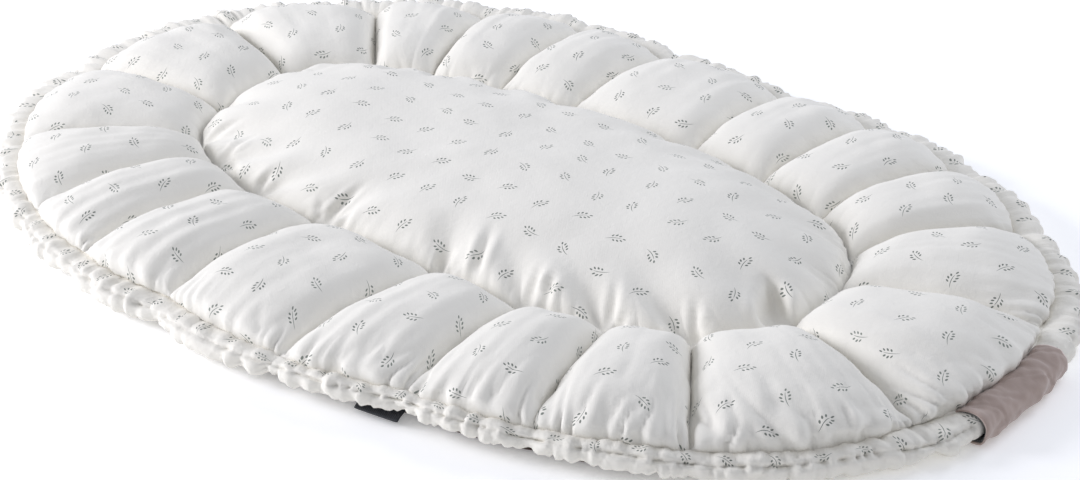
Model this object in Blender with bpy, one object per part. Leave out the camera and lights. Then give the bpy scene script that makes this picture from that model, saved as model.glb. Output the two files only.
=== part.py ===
"""A padded baby nest, laid out open and flat.

An oval quilted bed has one plump chamber in the middle and a ring of twenty wedge chambers round
it. A gathered casing runs round the rim, with a plain cuff round it at the head end. A plain sheet
backs the underside, and the end of a webbing strap lies under the front edge.

Metres, +Z up. The origin is on the floor under the middle of the whole, +X points to the head end.
"""

import math
from collections import namedtuple

import bmesh
import bpy

# Driving sizes of the two sewn ovals: half axes and the power of each superellipse
OUTER_HALF_LENGTH = 0.553
OUTER_HALF_WIDTH = 0.373
OUTER_POWER = 2.3
INNER_HALF_LENGTH = 0.382
INNER_HALF_WIDTH = 0.188
INNER_POWER = 2.6

# The middle of the sewn ovals, which lies a little off the middle of the whole with its casing
OVALS_MIDDLE = (0.0030, 0.0041, 0.0)

# Heights above the floor, and how high the filling stands over the sewn lines
SEAM_HEIGHT = 0.020
VALLEY_RISE = 0.004
PETAL_CROWN = 0.036
CENTRE_CROWN = 0.056
BED_UNDERSIDE = 0.0024

# Small shape sizes of the bed
RIM_SCALLOP = 0.004
PUCKER_HALF_WIDTH = 0.011
PUCKER_REACH = 0.020
PETAL_LEAN = 0.10

# The backing sheet, the cuff, its tape and the strap
SHEET_THICKNESS = 0.0018
CUFF_THICKNESS = 0.0015
CUFF_HALF_WIDTH = 0.0172
CUFF_HALF_HEIGHT = 0.0144
CUFF_FROM, CUFF_TO = -7.6, 8.6
CUFF_FLARE = 0.0030
FLARE_SPAN = 3.0
TAPE_THICKNESS = 0.0012
TAPE_SETBACK = 0.15
TAPE_SPAN = 2.6
STRAP_MIDDLE = 286.0
STRAP_HALF_WIDTH = 0.023
STRAP_THICKNESS = 0.0016
GAP = 0.0004

# Gathers of the casing that show from a step away: cycles round the rim, share, phase
GATHER_DEPTH = 0.0030
GATHERS = ((47, 0.45, 0.3), (71, 0.35, 2.1), (29, 0.20, 4.0))
PINCH_DEPTH = 0.0035
PINCH_SPAN = 1.7
LOOSE_GAP = 0.0022

# Mesh steps: fractions across a wedge, along a wedge, and insets of the middle chamber
ACROSS = (0.0, 0.05, 0.15, 0.32, 0.5, 0.68, 0.85, 0.95)
ALONG = (0.04, 0.12, 0.27, 0.5, 0.73, 0.88, 0.96)
CENTRE_INSETS = (0.007, 0.017, 0.033, 0.058, 0.090, 0.128, 0.166)
CASING_STEPS = 240
CASING_SIDES = 8
CUFF_STEP = 0.8
CUFF_SIDES = 16
SHEET_STEPS = 120

# One row for each radial seam, from the head end round through the far side: its station on the
# outer oval in degrees, how far out it is pulled, its station on the inner oval, how far out that
# end is pulled, the depth of the pucker it draws in the middle chamber, and the height of the
# wedge that follows it as a share of the usual one.
Seam = namedtuple("Seam", "outer_at outer_pull inner_at inner_pull pucker fill")
SEAMS = (
    Seam(12.8, 1.015, 6.5, 0.990, 0.006, 1.00),
    Seam(40.2, 0.993, 29.0, 0.995, 0.009, 0.98),
    Seam(58.0, 0.999, 50.0, 1.000, 0.007, 1.00),
    Seam(71.5, 0.990, 67.5, 1.000, 0.006, 1.02),
    Seam(83.6, 0.972, 82.0, 1.000, 0.006, 1.00),
    Seam(97.0, 0.972, 98.0, 1.000, 0.007, 0.98),
    Seam(108.7, 1.010, 112.0, 1.000, 0.008, 1.00),
    Seam(123.0, 0.978, 128.0, 0.995, 0.009, 1.04),
    Seam(141.2, 0.974, 144.0, 0.975, 0.008, 1.06),
    Seam(167.8, 0.996, 171.0, 1.000, 0.006, 0.98),
    Seam(190.6, 1.006, 194.0, 0.985, 0.007, 0.92),
    Seam(219.0, 1.012, 218.5, 1.010, 0.010, 0.96),
    Seam(240.2, 1.035, 232.0, 1.010, 0.011, 0.98),
    Seam(251.9, 1.030, 248.0, 1.020, 0.010, 1.00),
    Seam(264.2, 1.006, 261.5, 0.985, 0.012, 1.00),
    Seam(276.0, 1.022, 277.4, 0.980, 0.011, 1.00),
    Seam(289.0, 0.990, 291.5, 1.020, 0.012, 1.02),
    Seam(302.4, 0.997, 307.0, 1.015, 0.012, 1.00),
    Seam(318.8, 1.006, 324.8, 1.010, 0.014, 1.06),
    Seam(346.3, 1.010, 350.7, 1.010, 0.012, 1.04),
)

# Stations round the casing: half width, half height, the height of its middle, the gap between it
# and the bed, the height of the bed's sewn edge, and how far out the backing sheet ends under it.
Rim = namedtuple("Rim", "at half_width half_height middle inner_gap edge backing_out")
RIM = (
    Rim(0.0, 0.0125, 0.0100, 0.0155, 0.0078, 0.018, -0.001),
    Rim(8.0, 0.0125, 0.0100, 0.0155, 0.0058, 0.018, -0.001),
    Rim(13.0, 0.0180, 0.0130, 0.0165, 0.0010, 0.019, 0.001),
    Rim(32.0, 0.0150, 0.0130, 0.0160, 0.0006, 0.019, 0.001),
    Rim(47.0, 0.0170, 0.0125, 0.0165, 0.0006, 0.020, 0.001),
    Rim(64.0, 0.0185, 0.0120, 0.0170, 0.0006, 0.020, 0.001),
    Rim(84.0, 0.0155, 0.0120, 0.0170, 0.0006, 0.020, 0.001),
    Rim(102.0, 0.0185, 0.0150, 0.0190, 0.0006, 0.022, 0.001),
    Rim(126.0, 0.0215, 0.0175, 0.0240, 0.0006, 0.025, 0.001),
    Rim(150.0, 0.0215, 0.0160, 0.0210, 0.0006, 0.023, 0.001),
    Rim(170.0, 0.0270, 0.0145, 0.0200, 0.0006, 0.021, 0.001),
    Rim(192.0, 0.0225, 0.0120, 0.0150, 0.0006, 0.018, 0.001),
    Rim(216.0, 0.0180, 0.0120, 0.0150, 0.0006, 0.018, 0.001),
    Rim(240.0, 0.0135, 0.0120, 0.0160, 0.0006, 0.020, 0.001),
    Rim(262.0, 0.0150, 0.0110, 0.0170, 0.0006, 0.022, 0.001),
    Rim(284.0, 0.0090, 0.0090, 0.0230, 0.0006, 0.024, -0.003),
    Rim(296.0, 0.0100, 0.0090, 0.0230, 0.0006, 0.024, 0.001),
    Rim(302.5, 0.0115, 0.0095, 0.0210, 0.0006, 0.023, 0.003),
    Rim(310.0, 0.0110, 0.0090, 0.0220, 0.0006, 0.023, 0.004),
    Rim(322.0, 0.0135, 0.0105, 0.0165, 0.0006, 0.020, 0.001),
    Rim(338.0, 0.0135, 0.0115, 0.0150, 0.0006, 0.018, 0.001),
    Rim(347.5, 0.0205, 0.0105, 0.0140, 0.0010, 0.018, -0.001),
    Rim(353.0, 0.0125, 0.0100, 0.0155, 0.0120, 0.018, -0.001),
)

# Steps of the bed's rounded lower edge and of the backing sheet's lifted rim: how far in from the
# edge, and the share of the edge's height.
Step = namedtuple("Step", "inset share")
BED_FLANK = (Step(0.0035, 0.76), Step(0.0100, 0.40), Step(0.0220, 0.13), Step(0.0420, 0.0))
SHEET_RIM = (Step(0.0, 0.14), Step(0.0100, 0.10), Step(0.0240, 0.04), Step(0.0420, 0.0))

# Sections of the strap, from its sewn end to its free end: how far out, and its lower side
Lap = namedtuple("Lap", "out low")
STRAP_LAPS = (Lap(-0.006, 0.0088), Lap(0.002, 0.0086), Lap(0.008, 0.0070), Lap(0.013, 0.0042))

# Fabric colours as linear RGB
PRINTED_COTTON = (0.80, 0.79, 0.76)
CUFF_COTTON = (0.36, 0.30, 0.28)
BACKING_COTTON = (0.16, 0.13, 0.12)
TAPE_BLACK = (0.012, 0.012, 0.012)
WEBBING_BLACK = (0.025, 0.025, 0.027)


def clear_scene():
    """Removes every object that the scene starts with."""
    for thing in list(bpy.data.objects):
        bpy.data.objects.remove(thing, do_unlink=True)


def fabric(name, colour, roughness):
    """Returns a cloth material of one colour."""
    material = bpy.data.materials.new(name)
    material.use_nodes = True
    shader = material.node_tree.nodes["Principled BSDF"]
    shader.inputs["Base Color"].default_value = (*colour, 1.0)
    shader.inputs["Roughness"].default_value = roughness
    shader.inputs["Metallic"].default_value = 0.0
    return material


def oval(half_length, half_width, power, degrees):
    """Returns the point of a superellipse at one station."""
    cosine = math.cos(math.radians(degrees))
    sine = math.sin(math.radians(degrees))
    x = math.copysign(abs(cosine) ** (2.0 / power), cosine) * half_length
    y = math.copysign(abs(sine) ** (2.0 / power), sine) * half_width
    return x, y


def ease(share):
    """Returns a soft step from 0 to 1."""
    return share * share * (3.0 - 2.0 * share)


def between(rows, degrees):
    """Returns the two table rows either side of a station, and the share of the way between them."""
    degrees %= 360.0
    stations = [row[0] for row in rows] + [rows[0][0] + 360.0]
    if degrees < stations[0]:
        degrees += 360.0
    index = max(i for i, station in enumerate(stations[:-1]) if station <= degrees)
    share = (degrees - stations[index]) / (stations[index + 1] - stations[index])
    return rows[index], rows[(index + 1) % len(rows)], share


def rim_sizes(degrees):
    """Returns the casing's sizes at one station of the rim."""
    first, second, share = between(RIM, degrees)
    share = ease(share)
    return Rim(degrees, *(a + (b - a) * share for a, b in zip(first[1:], second[1:])))


def rim_line(degrees):
    """Returns the outer sewn line in plan: pulled in or out at the seams, fuller between them."""
    first, second, share = between(SEAMS, degrees)
    pull = first.outer_pull + (second.outer_pull - first.outer_pull) * ease(share)
    x, y = oval(OUTER_HALF_LENGTH, OUTER_HALF_WIDTH, OUTER_POWER, degrees)
    stretch = pull + RIM_SCALLOP / math.hypot(x, y) * math.sin(math.pi * share)
    return x * stretch, y * stretch


def rim_point(degrees, out):
    """Returns a point that lies a distance outside the outer sewn line."""
    step = 1.5
    x, y = rim_line(degrees)
    ahead = oval(OUTER_HALF_LENGTH, OUTER_HALF_WIDTH, OUTER_POWER, degrees + step)
    behind = oval(OUTER_HALF_LENGTH, OUTER_HALF_WIDTH, OUTER_POWER, degrees - step)
    along_x, along_y = ahead[0] - behind[0], ahead[1] - behind[1]
    length = math.hypot(along_x, along_y)
    return x + along_y / length * out, y - along_x / length * out


def nearest_seam(degrees):
    """Returns how far a station of the rim is from the nearest radial seam, in degrees."""
    return min(abs((degrees - seam.outer_at + 180.0) % 360.0 - 180.0) for seam in SEAMS)


def join_rings(name, rings, material, around=False, ends="flat"):
    """Makes one closed body from rings of equal count.

    With around set, the last ring joins the first. Otherwise each end is closed by a flat face,
    and with ends set to "point" the first ring is closed by a fan to its middle instead.
    """
    shape = bmesh.new()
    grid = [[shape.verts.new(point) for point in ring] for ring in rings]
    count = len(grid[0])
    pairs = list(zip(grid, grid[1:])) + ([(grid[-1], grid[0])] if around else [])
    for ring, other in pairs:
        for i in range(count):
            j = (i + 1) % count
            shape.faces.new((ring[i], ring[j], other[j], other[i]))
    if not around:
        shape.faces.new(grid[-1])
        if ends == "point":
            height = sum(vertex.co.z for vertex in grid[0]) / count
            top = shape.verts.new((0.0, 0.0, height))
            for i in range(count):
                shape.faces.new((grid[0][i], grid[0][(i + 1) % count], top))
        else:
            shape.faces.new(grid[0])
    bmesh.ops.recalc_face_normals(shape, faces=shape.faces)
    mesh = bpy.data.meshes.new(name)
    shape.to_mesh(mesh)
    shape.free()
    mesh.shade_smooth()
    mesh.set_sharp_from_angle(angle=math.radians(50.0))
    mesh.materials.append(material)
    body = bpy.data.objects.new(name, mesh)
    bpy.context.scene.collection.objects.link(body)
    return body


def bed_columns():
    """Returns a row for each mesh column: its wedge's two seams and the share between them."""
    columns = []
    for i, seam in enumerate(SEAMS):
        following = SEAMS[(i + 1) % len(SEAMS)]
        columns += [(seam, following, share) for share in ACROSS]
    return columns


def turned(first, second, share):
    """Returns an angle part of the way from one station to the next one round."""
    return first + ((second - first) % 360.0) * share


def column_ends(column):
    """Returns a column's points on the inner and the outer sewn line."""
    seam, following, share = column
    at = turned(seam.inner_at, following.inner_at, share)
    pull = seam.inner_pull + (following.inner_pull - seam.inner_pull) * ease(share)
    x, y = oval(INNER_HALF_LENGTH, INNER_HALF_WIDTH, INNER_POWER, at)
    return (x * pull, y * pull), rim_line(turned(seam.outer_at, following.outer_at, share))


def wedge_height(column, along):
    """Returns the top of a wedge chamber: full in the middle, drawn down at its four sewn sides."""
    seam, following, across = column
    side = (1.0 - abs(2.0 * across - 1.0) ** 2.2) ** 0.52
    lean = along ** (1.0 - PETAL_LEAN)
    end = (1.0 - abs(2.0 * lean - 1.0) ** 3.0) ** 0.5
    edge = rim_sizes(turned(seam.outer_at, following.outer_at, across)).edge
    valley = SEAM_HEIGHT + (edge - SEAM_HEIGHT) * along + VALLEY_RISE * 4.0 * along * (1.0 - along)
    return valley + PETAL_CROWN * seam.fill * side * end


def centre_point(column, inset):
    """Returns a point of the middle chamber a distance in from the inner sewn line."""
    seam, following, share = column
    at = turned(seam.inner_at, following.inner_at, share)
    narrowing = inset / INNER_HALF_WIDTH
    excess = INNER_HALF_LENGTH / INNER_HALF_WIDTH - 1.0
    half_length = INNER_HALF_LENGTH - inset * (1.0 + narrowing * narrowing * excess)
    x, y = oval(half_length, INNER_HALF_WIDTH - inset, INNER_POWER - 0.6 * narrowing, at)
    pull = seam.inner_pull + (following.inner_pull - seam.inner_pull) * ease(share)
    pull = 1.0 + (pull - 1.0) * (1.0 - narrowing) ** 2
    x, y = x * pull, y * pull
    crown = CENTRE_CROWN * (1.0 - (1.0 - narrowing) ** 3.0) ** 0.52
    return x, y, SEAM_HEIGHT + crown - pucker_depth(x, y, inset)


def pucker_depth(x, y, inset):
    """Returns how deep the seams' ends draw the middle chamber down at one place."""
    depth = 0.0
    for seam in SEAMS:
        end_x, end_y = oval(INNER_HALF_LENGTH, INNER_HALF_WIDTH, INNER_POWER, seam.inner_at)
        length = math.hypot(end_x, end_y)
        sideways = (x * end_y - y * end_x) / length
        if x * end_x + y * end_y < 0.0:
            continue
        spread = math.exp(-((sideways / (PUCKER_HALF_WIDTH + 0.25 * inset)) ** 2))
        reach = inset / PUCKER_REACH
        depth += seam.pucker * spread * reach * math.exp(1.0 - reach)
    return depth


def build_bed(material):
    """Makes the quilted bed as one filled body."""
    columns = bed_columns()
    rings = [[centre_point(column, inset) for column in columns] for inset in reversed(CENTRE_INSETS)]
    ends = [column_ends(column) for column in columns]
    rings.append([(*inner, SEAM_HEIGHT) for inner, _ in ends])
    for along in ALONG:
        ring = []
        for column, (inner, outer) in zip(columns, ends):
            x = inner[0] + (outer[0] - inner[0]) * along
            y = inner[1] + (outer[1] - inner[1]) * along
            ring.append((x, y, wedge_height(column, along)))
        rings.append(ring)
    stations = [turned(seam.outer_at, following.outer_at, share) for seam, following, share in columns]
    rings.append([(*rim_point(degrees, 0.0), rim_sizes(degrees).edge) for degrees in stations])
    for step in BED_FLANK:
        rings.append([
            (*rim_point(degrees, -step.inset), BED_UNDERSIDE + step.share * rim_sizes(degrees).edge)
            for degrees in stations
        ])
    return join_rings("quilted_bed", rings, material, ends="point")


def gather(degrees):
    """Returns how far the gathers stand in or out at one station, from about -1 to 1."""
    turn = math.radians(degrees)
    return sum(share * math.sin(cycles * turn + phase) for cycles, share, phase in GATHERS)


def tube_section(degrees, half_width, half_height, middle_out, middle_height, sides, ripple=0.0):
    """Returns one section across the rim: a flattened round, its outer and upper sides rippled."""
    ring = []
    for i in range(sides):
        turn = 2.0 * math.pi * (i + 0.5) / sides
        cosine, sine = math.cos(turn), math.sin(turn)
        out = math.copysign(abs(cosine) ** 0.85, cosine) * (half_width + ripple * max(cosine, 0.0))
        up = math.copysign(abs(sine) ** 0.85, sine) * (half_height + ripple * max(sine, 0.0))
        ring.append((*rim_point(degrees, middle_out + out), middle_height + up))
    return ring


def build_casing(material):
    """Makes the gathered casing round the rim, full of its own gathers."""
    sections = []
    for i in range(CASING_STEPS):
        degrees = 360.0 * i / CASING_STEPS
        size = rim_sizes(degrees)
        loose = size.inner_gap < LOOSE_GAP
        pinch = PINCH_DEPTH * math.exp(-((nearest_seam(degrees) / PINCH_SPAN) ** 2)) if loose else 0.0
        ripple = GATHER_DEPTH * gather(degrees) - pinch if loose else 0.0
        middle = size.inner_gap + size.half_width
        section = (degrees, size.half_width, size.half_height, middle, size.middle, CASING_SIDES, ripple)
        sections.append(tube_section(*section))
    return join_rings("rim_casing", sections, material, around=True)


def cuff_section(degrees, shrink):
    """Returns a section of the cuff round the casing, wider at its open mouth, shrunk by a wall."""
    size = rim_sizes(degrees)
    mouth = max(0.0, 1.0 - (degrees - CUFF_FROM) / FLARE_SPAN)
    flare = CUFF_FLARE * ease(min(mouth, 1.0))
    crease = 0.0005 * math.sin(math.radians(degrees) * 60.0 + 0.8)
    half_width = CUFF_HALF_WIDTH + 0.5 * flare + crease - shrink
    half_height = CUFF_HALF_HEIGHT + crease - shrink
    middle = size.inner_gap + size.half_width + 0.5 * flare
    return tube_section(degrees, half_width, half_height, middle, size.middle, CUFF_SIDES)


def hollow_tube(name, first, last, inset, wall, material):
    """Makes an open-ended tube with a thin wall."""
    steps = math.ceil((last - first) / CUFF_STEP)
    stations = [first + (last - first) * i / steps for i in range(steps + 1)]
    outside = [cuff_section(degrees, inset) for degrees in stations]
    inside = [cuff_section(degrees, inset + wall) for degrees in reversed(stations)]
    return join_rings(name, outside + inside, material, around=True)


def build_backing(material):
    """Makes the backing sheet: flat on the floor, its rim lifted a little under the casing."""
    stations = [360.0 * i / SHEET_STEPS for i in range(SHEET_STEPS)]

    def ring(step, height):
        points = []
        for degrees in stations:
            size = rim_sizes(degrees)
            out = size.backing_out - step.inset
            points.append((*rim_point(degrees, out), height + step.share * size.edge))
        return points

    upper = [ring(step, SHEET_THICKNESS) for step in reversed(SHEET_RIM)]
    lower = [ring(step, 0.0) for step in SHEET_RIM]
    return join_rings("underside_panel", upper + lower, material)


def build_strap(material):
    """Makes the end of the webbing strap, which lies over the sheet's edge and under the casing."""
    middle_x, middle_y = rim_point(STRAP_MIDDLE, 0.0)
    out_x, out_y = rim_point(STRAP_MIDDLE, 1.0)
    out_x, out_y = out_x - middle_x, out_y - middle_y
    sections = []
    for lap in STRAP_LAPS:
        corners = ((-1, 0), (1, 0), (1, 1), (-1, 1))
        sections.append([
            (
                middle_x + out_x * lap.out - out_y * side * STRAP_HALF_WIDTH,
                middle_y + out_y * lap.out + out_x * side * STRAP_HALF_WIDTH,
                lap.low + top * STRAP_THICKNESS,
            )
            for side, top in corners
        ])
    return join_rings("strap_end", sections, material)


def main():
    """Builds the nest."""
    clear_scene()
    printed = fabric("printed_cotton", PRINTED_COTTON, 0.85)
    casing = fabric("casing_cotton", PRINTED_COTTON, 0.85)
    cuff = fabric("cuff_cotton", CUFF_COTTON, 0.8)
    backing = fabric("backing_cotton", BACKING_COTTON, 0.85)
    tape = fabric("tape_black", TAPE_BLACK, 0.95)
    webbing = fabric("webbing_black", WEBBING_BLACK, 0.7)
    tape_from, tape_to = CUFF_FROM + TAPE_SETBACK, CUFF_FROM + TAPE_SPAN
    pieces = (
        build_bed(printed),
        build_casing(casing),
        build_backing(backing),
        build_strap(webbing),
        hollow_tube("cord_cuff", CUFF_FROM, CUFF_TO, 0.0, CUFF_THICKNESS, cuff),
        hollow_tube("cuff_tape", tape_from, tape_to, CUFF_THICKNESS + GAP, TAPE_THICKNESS, tape),
    )
    nest = bpy.data.objects.new("nest", None)
    nest.location = OVALS_MIDDLE
    bpy.context.scene.collection.objects.link(nest)
    for piece in pieces:
        piece.parent = nest


main()
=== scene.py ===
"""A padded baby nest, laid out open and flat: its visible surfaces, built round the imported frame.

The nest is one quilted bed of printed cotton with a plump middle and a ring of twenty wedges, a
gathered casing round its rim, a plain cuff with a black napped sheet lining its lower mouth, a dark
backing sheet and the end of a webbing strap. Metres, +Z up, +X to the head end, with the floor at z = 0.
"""

import logging
import math
from dataclasses import dataclass
from enum import Enum
from typing import Any, NamedTuple

import bmesh
import bpy
import numpy as np
from mathutils import Matrix, Vector, noise


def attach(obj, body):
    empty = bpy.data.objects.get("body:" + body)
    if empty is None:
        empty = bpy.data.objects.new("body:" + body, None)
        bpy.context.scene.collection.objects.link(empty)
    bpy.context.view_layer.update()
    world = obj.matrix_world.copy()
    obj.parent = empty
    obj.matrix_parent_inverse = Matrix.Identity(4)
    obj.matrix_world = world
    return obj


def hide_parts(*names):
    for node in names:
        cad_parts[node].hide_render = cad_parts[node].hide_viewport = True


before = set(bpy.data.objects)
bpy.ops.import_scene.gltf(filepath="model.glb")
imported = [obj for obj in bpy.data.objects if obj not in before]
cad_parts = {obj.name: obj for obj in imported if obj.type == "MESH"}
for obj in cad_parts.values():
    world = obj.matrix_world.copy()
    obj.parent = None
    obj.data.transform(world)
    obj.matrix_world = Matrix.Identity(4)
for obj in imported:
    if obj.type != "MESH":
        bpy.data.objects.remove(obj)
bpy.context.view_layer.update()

Array = np.ndarray
Colour = tuple[float, float, float, float]
log = logging.getLogger("baby_nest")

METRES_TO_MM = 1000.0
# Cloth that rests on the floor stops this far above it
RESTING_HEIGHT = 0.0004
# The way in which a field's shift moves through the noise, and the gain that brings it to about -1 to 1
NOISE_SHIFT = (1.0, 1.7, 0.6)
NOISE_GAIN = 1.6
# How sharp the creases between round folds are
CREASE_SHARPNESS = 2.2
# The low ridge on each side of a crease, in half widths of the crease
RIDGE_HEIGHT = 0.35
RIDGE_PLACE = 1.9
RIDGE_SPREAD = 0.8
# The least length that a direction is divided by
SHORTEST = 1e-12
# The names of three kinds of node
MATHS = "ShaderNodeMath"
VECTORS = "ShaderNodeVectorMath"
NOISE = "ShaderNodeTexNoise"
# The Mix node's own numbers for its sockets when it mixes colours
MIX_SHARE, MIX_FIRST, MIX_SECOND, MIX_RESULT = 0, 6, 7, 2


# Colours and nodes


def linear(hex_code: str) -> Colour:
    """Turns an sRGB colour to linear light.

    Args:
        hex_code: Six hex digits after a hash sign.

    Returns:
        The colour's linear red, green and blue, and an alpha of one.
    """
    values = [int(hex_code[i:i + 2], 16) / 255.0 for i in (1, 3, 5)]
    light = [v / 12.92 if v <= 0.04045 else ((v + 0.055) / 1.055) ** 2.4 for v in values]
    return light[0], light[1], light[2], 1.0


def add_node(
    tree: bpy.types.NodeTree, kind: str, links: dict | None = None, **settings: Any
) -> bpy.types.Node:
    """Adds a node with its settings and links.

    Args:
        tree: The node tree that takes the node.
        kind: The node's type name.
        links: For each input's name or number, an output socket to link or a value to set.
        settings: The node's own properties.

    Returns:
        The new node.
    """
    node = tree.nodes.new(kind)
    for name, value in settings.items():
        setattr(node, name, value)
    for key, value in (links or {}).items():
        if isinstance(value, bpy.types.NodeSocket):
            tree.links.new(value, node.inputs[key])
        else:
            node.inputs[key].default_value = value
    return node


# Finishes


class Weave(Enum):
    """How a cloth's threads cross, which sets the pattern of its relief."""

    PLAIN = "plain"
    TWILL = "twill"
    RIBBED = "ribbed"


@dataclass(frozen=True)
class Cloth:
    """A woven cloth: its fibre's colour, how it was woven and how it takes the light.

    Spans are real ones in millimetres and heights are in metres. A real thread is about 0.25 mm and
    finer than a pixel at this distance, so it is drawn as wide as drawn_thread to show at all.
    """

    name: str
    colour: str
    second_colour: str
    weave: Weave
    roughness: float
    sheen: float
    drawn_thread: float = 1.1
    relief: float = 0.10
    thread_height: float = 0.0004
    crease_span: float = 9.0
    crease_relief: float = 0.35
    crease_height: float = 0.0016
    cloud_span: float = 83.0
    slub_span: float = 1.25
    slub_length: float = 18.0
    slub_share: float = 0.4
    cloud_detail: float = 3.0
    crease_detail: float = 4.0
    crease_breakup: float = 0.55
    crease_distortion: float = 0.6
    specular: float = 0.25
    sheen_roughness: float = 0.45

    def make(self) -> bpy.types.Material:
        """Builds the cloth's material.

        Returns:
            The material, with its colour, weave and sheen.
        """
        material = bpy.data.materials.new(self.name)
        material.use_nodes = True
        tree = material.node_tree
        shader = tree.nodes["Principled BSDF"]
        shader.inputs["Roughness"].default_value = self.roughness
        shader.inputs["Specular IOR Level"].default_value = self.specular
        shader.inputs["Sheen Weight"].default_value = self.sheen
        shader.inputs["Sheen Roughness"].default_value = self.sheen_roughness
        flat = self.flat_millimetres(tree)
        tree.links.new(self.colour_of(tree, flat), shader.inputs["Base Color"])
        tree.links.new(self.relief_of(tree, flat), shader.inputs["Normal"])
        return material

    def flat_millimetres(self, tree: bpy.types.NodeTree) -> bpy.types.NodeSocket:
        """Reads the place on the flat cloth, before it was sewn and gathered.

        Args:
            tree: The node tree.

        Returns:
            The place in millimetres.
        """
        flat = add_node(tree, "ShaderNodeUVMap", uv_map="flat_cloth").outputs[0]
        scaled = {0: flat, "Scale": METRES_TO_MM}
        return add_node(tree, VECTORS, scaled, operation="SCALE").outputs[0]

    def colour_of(self, tree: bpy.types.NodeTree, flat: bpy.types.NodeSocket) -> bpy.types.NodeSocket:
        """Mixes two close shades in soft clouds and thread slubs.

        Args:
            tree: The node tree.
            flat: The place on the flat cloth in millimetres.

        Returns:
            The cloth's colour.
        """
        clouds = add_node(tree, NOISE, {
            "Vector": flat, "Scale": 1.0 / self.cloud_span, "Detail": self.cloud_detail,
        })
        long_slubs = {0: flat, 1: (1.0 / self.slub_length, 1.0, 1.0)}
        stretched = add_node(tree, VECTORS, long_slubs, operation="MULTIPLY")
        slubs = add_node(tree, NOISE, {"Vector": stretched.outputs[0], "Scale": 1.0 / self.slub_span})
        cloud_part = {0: clouds.outputs[0], 1: 1.0 - self.slub_share}
        softened = add_node(tree, MATHS, cloud_part, operation="MULTIPLY")
        slub_part = {0: slubs.outputs[0], 1: self.slub_share, 2: softened.outputs[0]}
        share = add_node(tree, MATHS, slub_part, operation="MULTIPLY_ADD")
        shades = {
            MIX_SHARE: share.outputs[0],
            MIX_FIRST: linear(self.colour),
            MIX_SECOND: linear(self.second_colour),
        }
        return add_node(tree, "ShaderNodeMix", shades, data_type="RGBA").outputs[MIX_RESULT]

    def relief_of(self, tree: bpy.types.NodeTree, flat: bpy.types.NodeSocket) -> bpy.types.NodeSocket:
        """Raises crossing threads over small handling creases.

        Args:
            tree: The node tree.
            flat: The place on the flat cloth in millimetres.

        Returns:
            The shading normal.
        """
        turns = add_node(tree, VECTORS, {0: flat, "Scale": math.pi / self.drawn_thread}, operation="SCALE")
        waves = add_node(tree, VECTORS, {0: turns.outputs[0]}, operation="SINE")
        parts = add_node(tree, "ShaderNodeSeparateXYZ", {0: waves.outputs[0]})
        if self.weave is Weave.TWILL:
            diagonal = {0: turns.outputs[0], 1: (1.0, 1.0, 0.0)}
            slant = add_node(tree, VECTORS, diagonal, operation="DOT_PRODUCT")
            threads = add_node(tree, MATHS, {0: slant.outputs["Value"]}, operation="SINE").outputs[0]
        elif self.weave is Weave.RIBBED:
            threads = parts.outputs[0]
        else:
            crossed = {0: parts.outputs[0], 1: parts.outputs[1]}
            threads = add_node(tree, MATHS, crossed, operation="MULTIPLY").outputs[0]
        creased = add_node(tree, NOISE, {
            "Vector": flat, "Scale": 1.0 / self.crease_span, "Detail": self.crease_detail,
            "Roughness": self.crease_breakup, "Distortion": self.crease_distortion,
        })
        woven = {"Strength": self.relief, "Distance": self.thread_height, "Height": threads}
        fine = add_node(tree, "ShaderNodeBump", woven)
        return add_node(tree, "ShaderNodeBump", {
            "Strength": self.crease_relief, "Distance": self.crease_height, "Height": creased.outputs[0],
            "Normal": fine.outputs[0],
        }).outputs[0]


class Leaf(NamedTuple):
    """A leaf of the printed sprig, in millimetres from the sprig's middle."""

    across: float
    up: float
    half_length: float
    half_width: float
    lean: float


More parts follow.
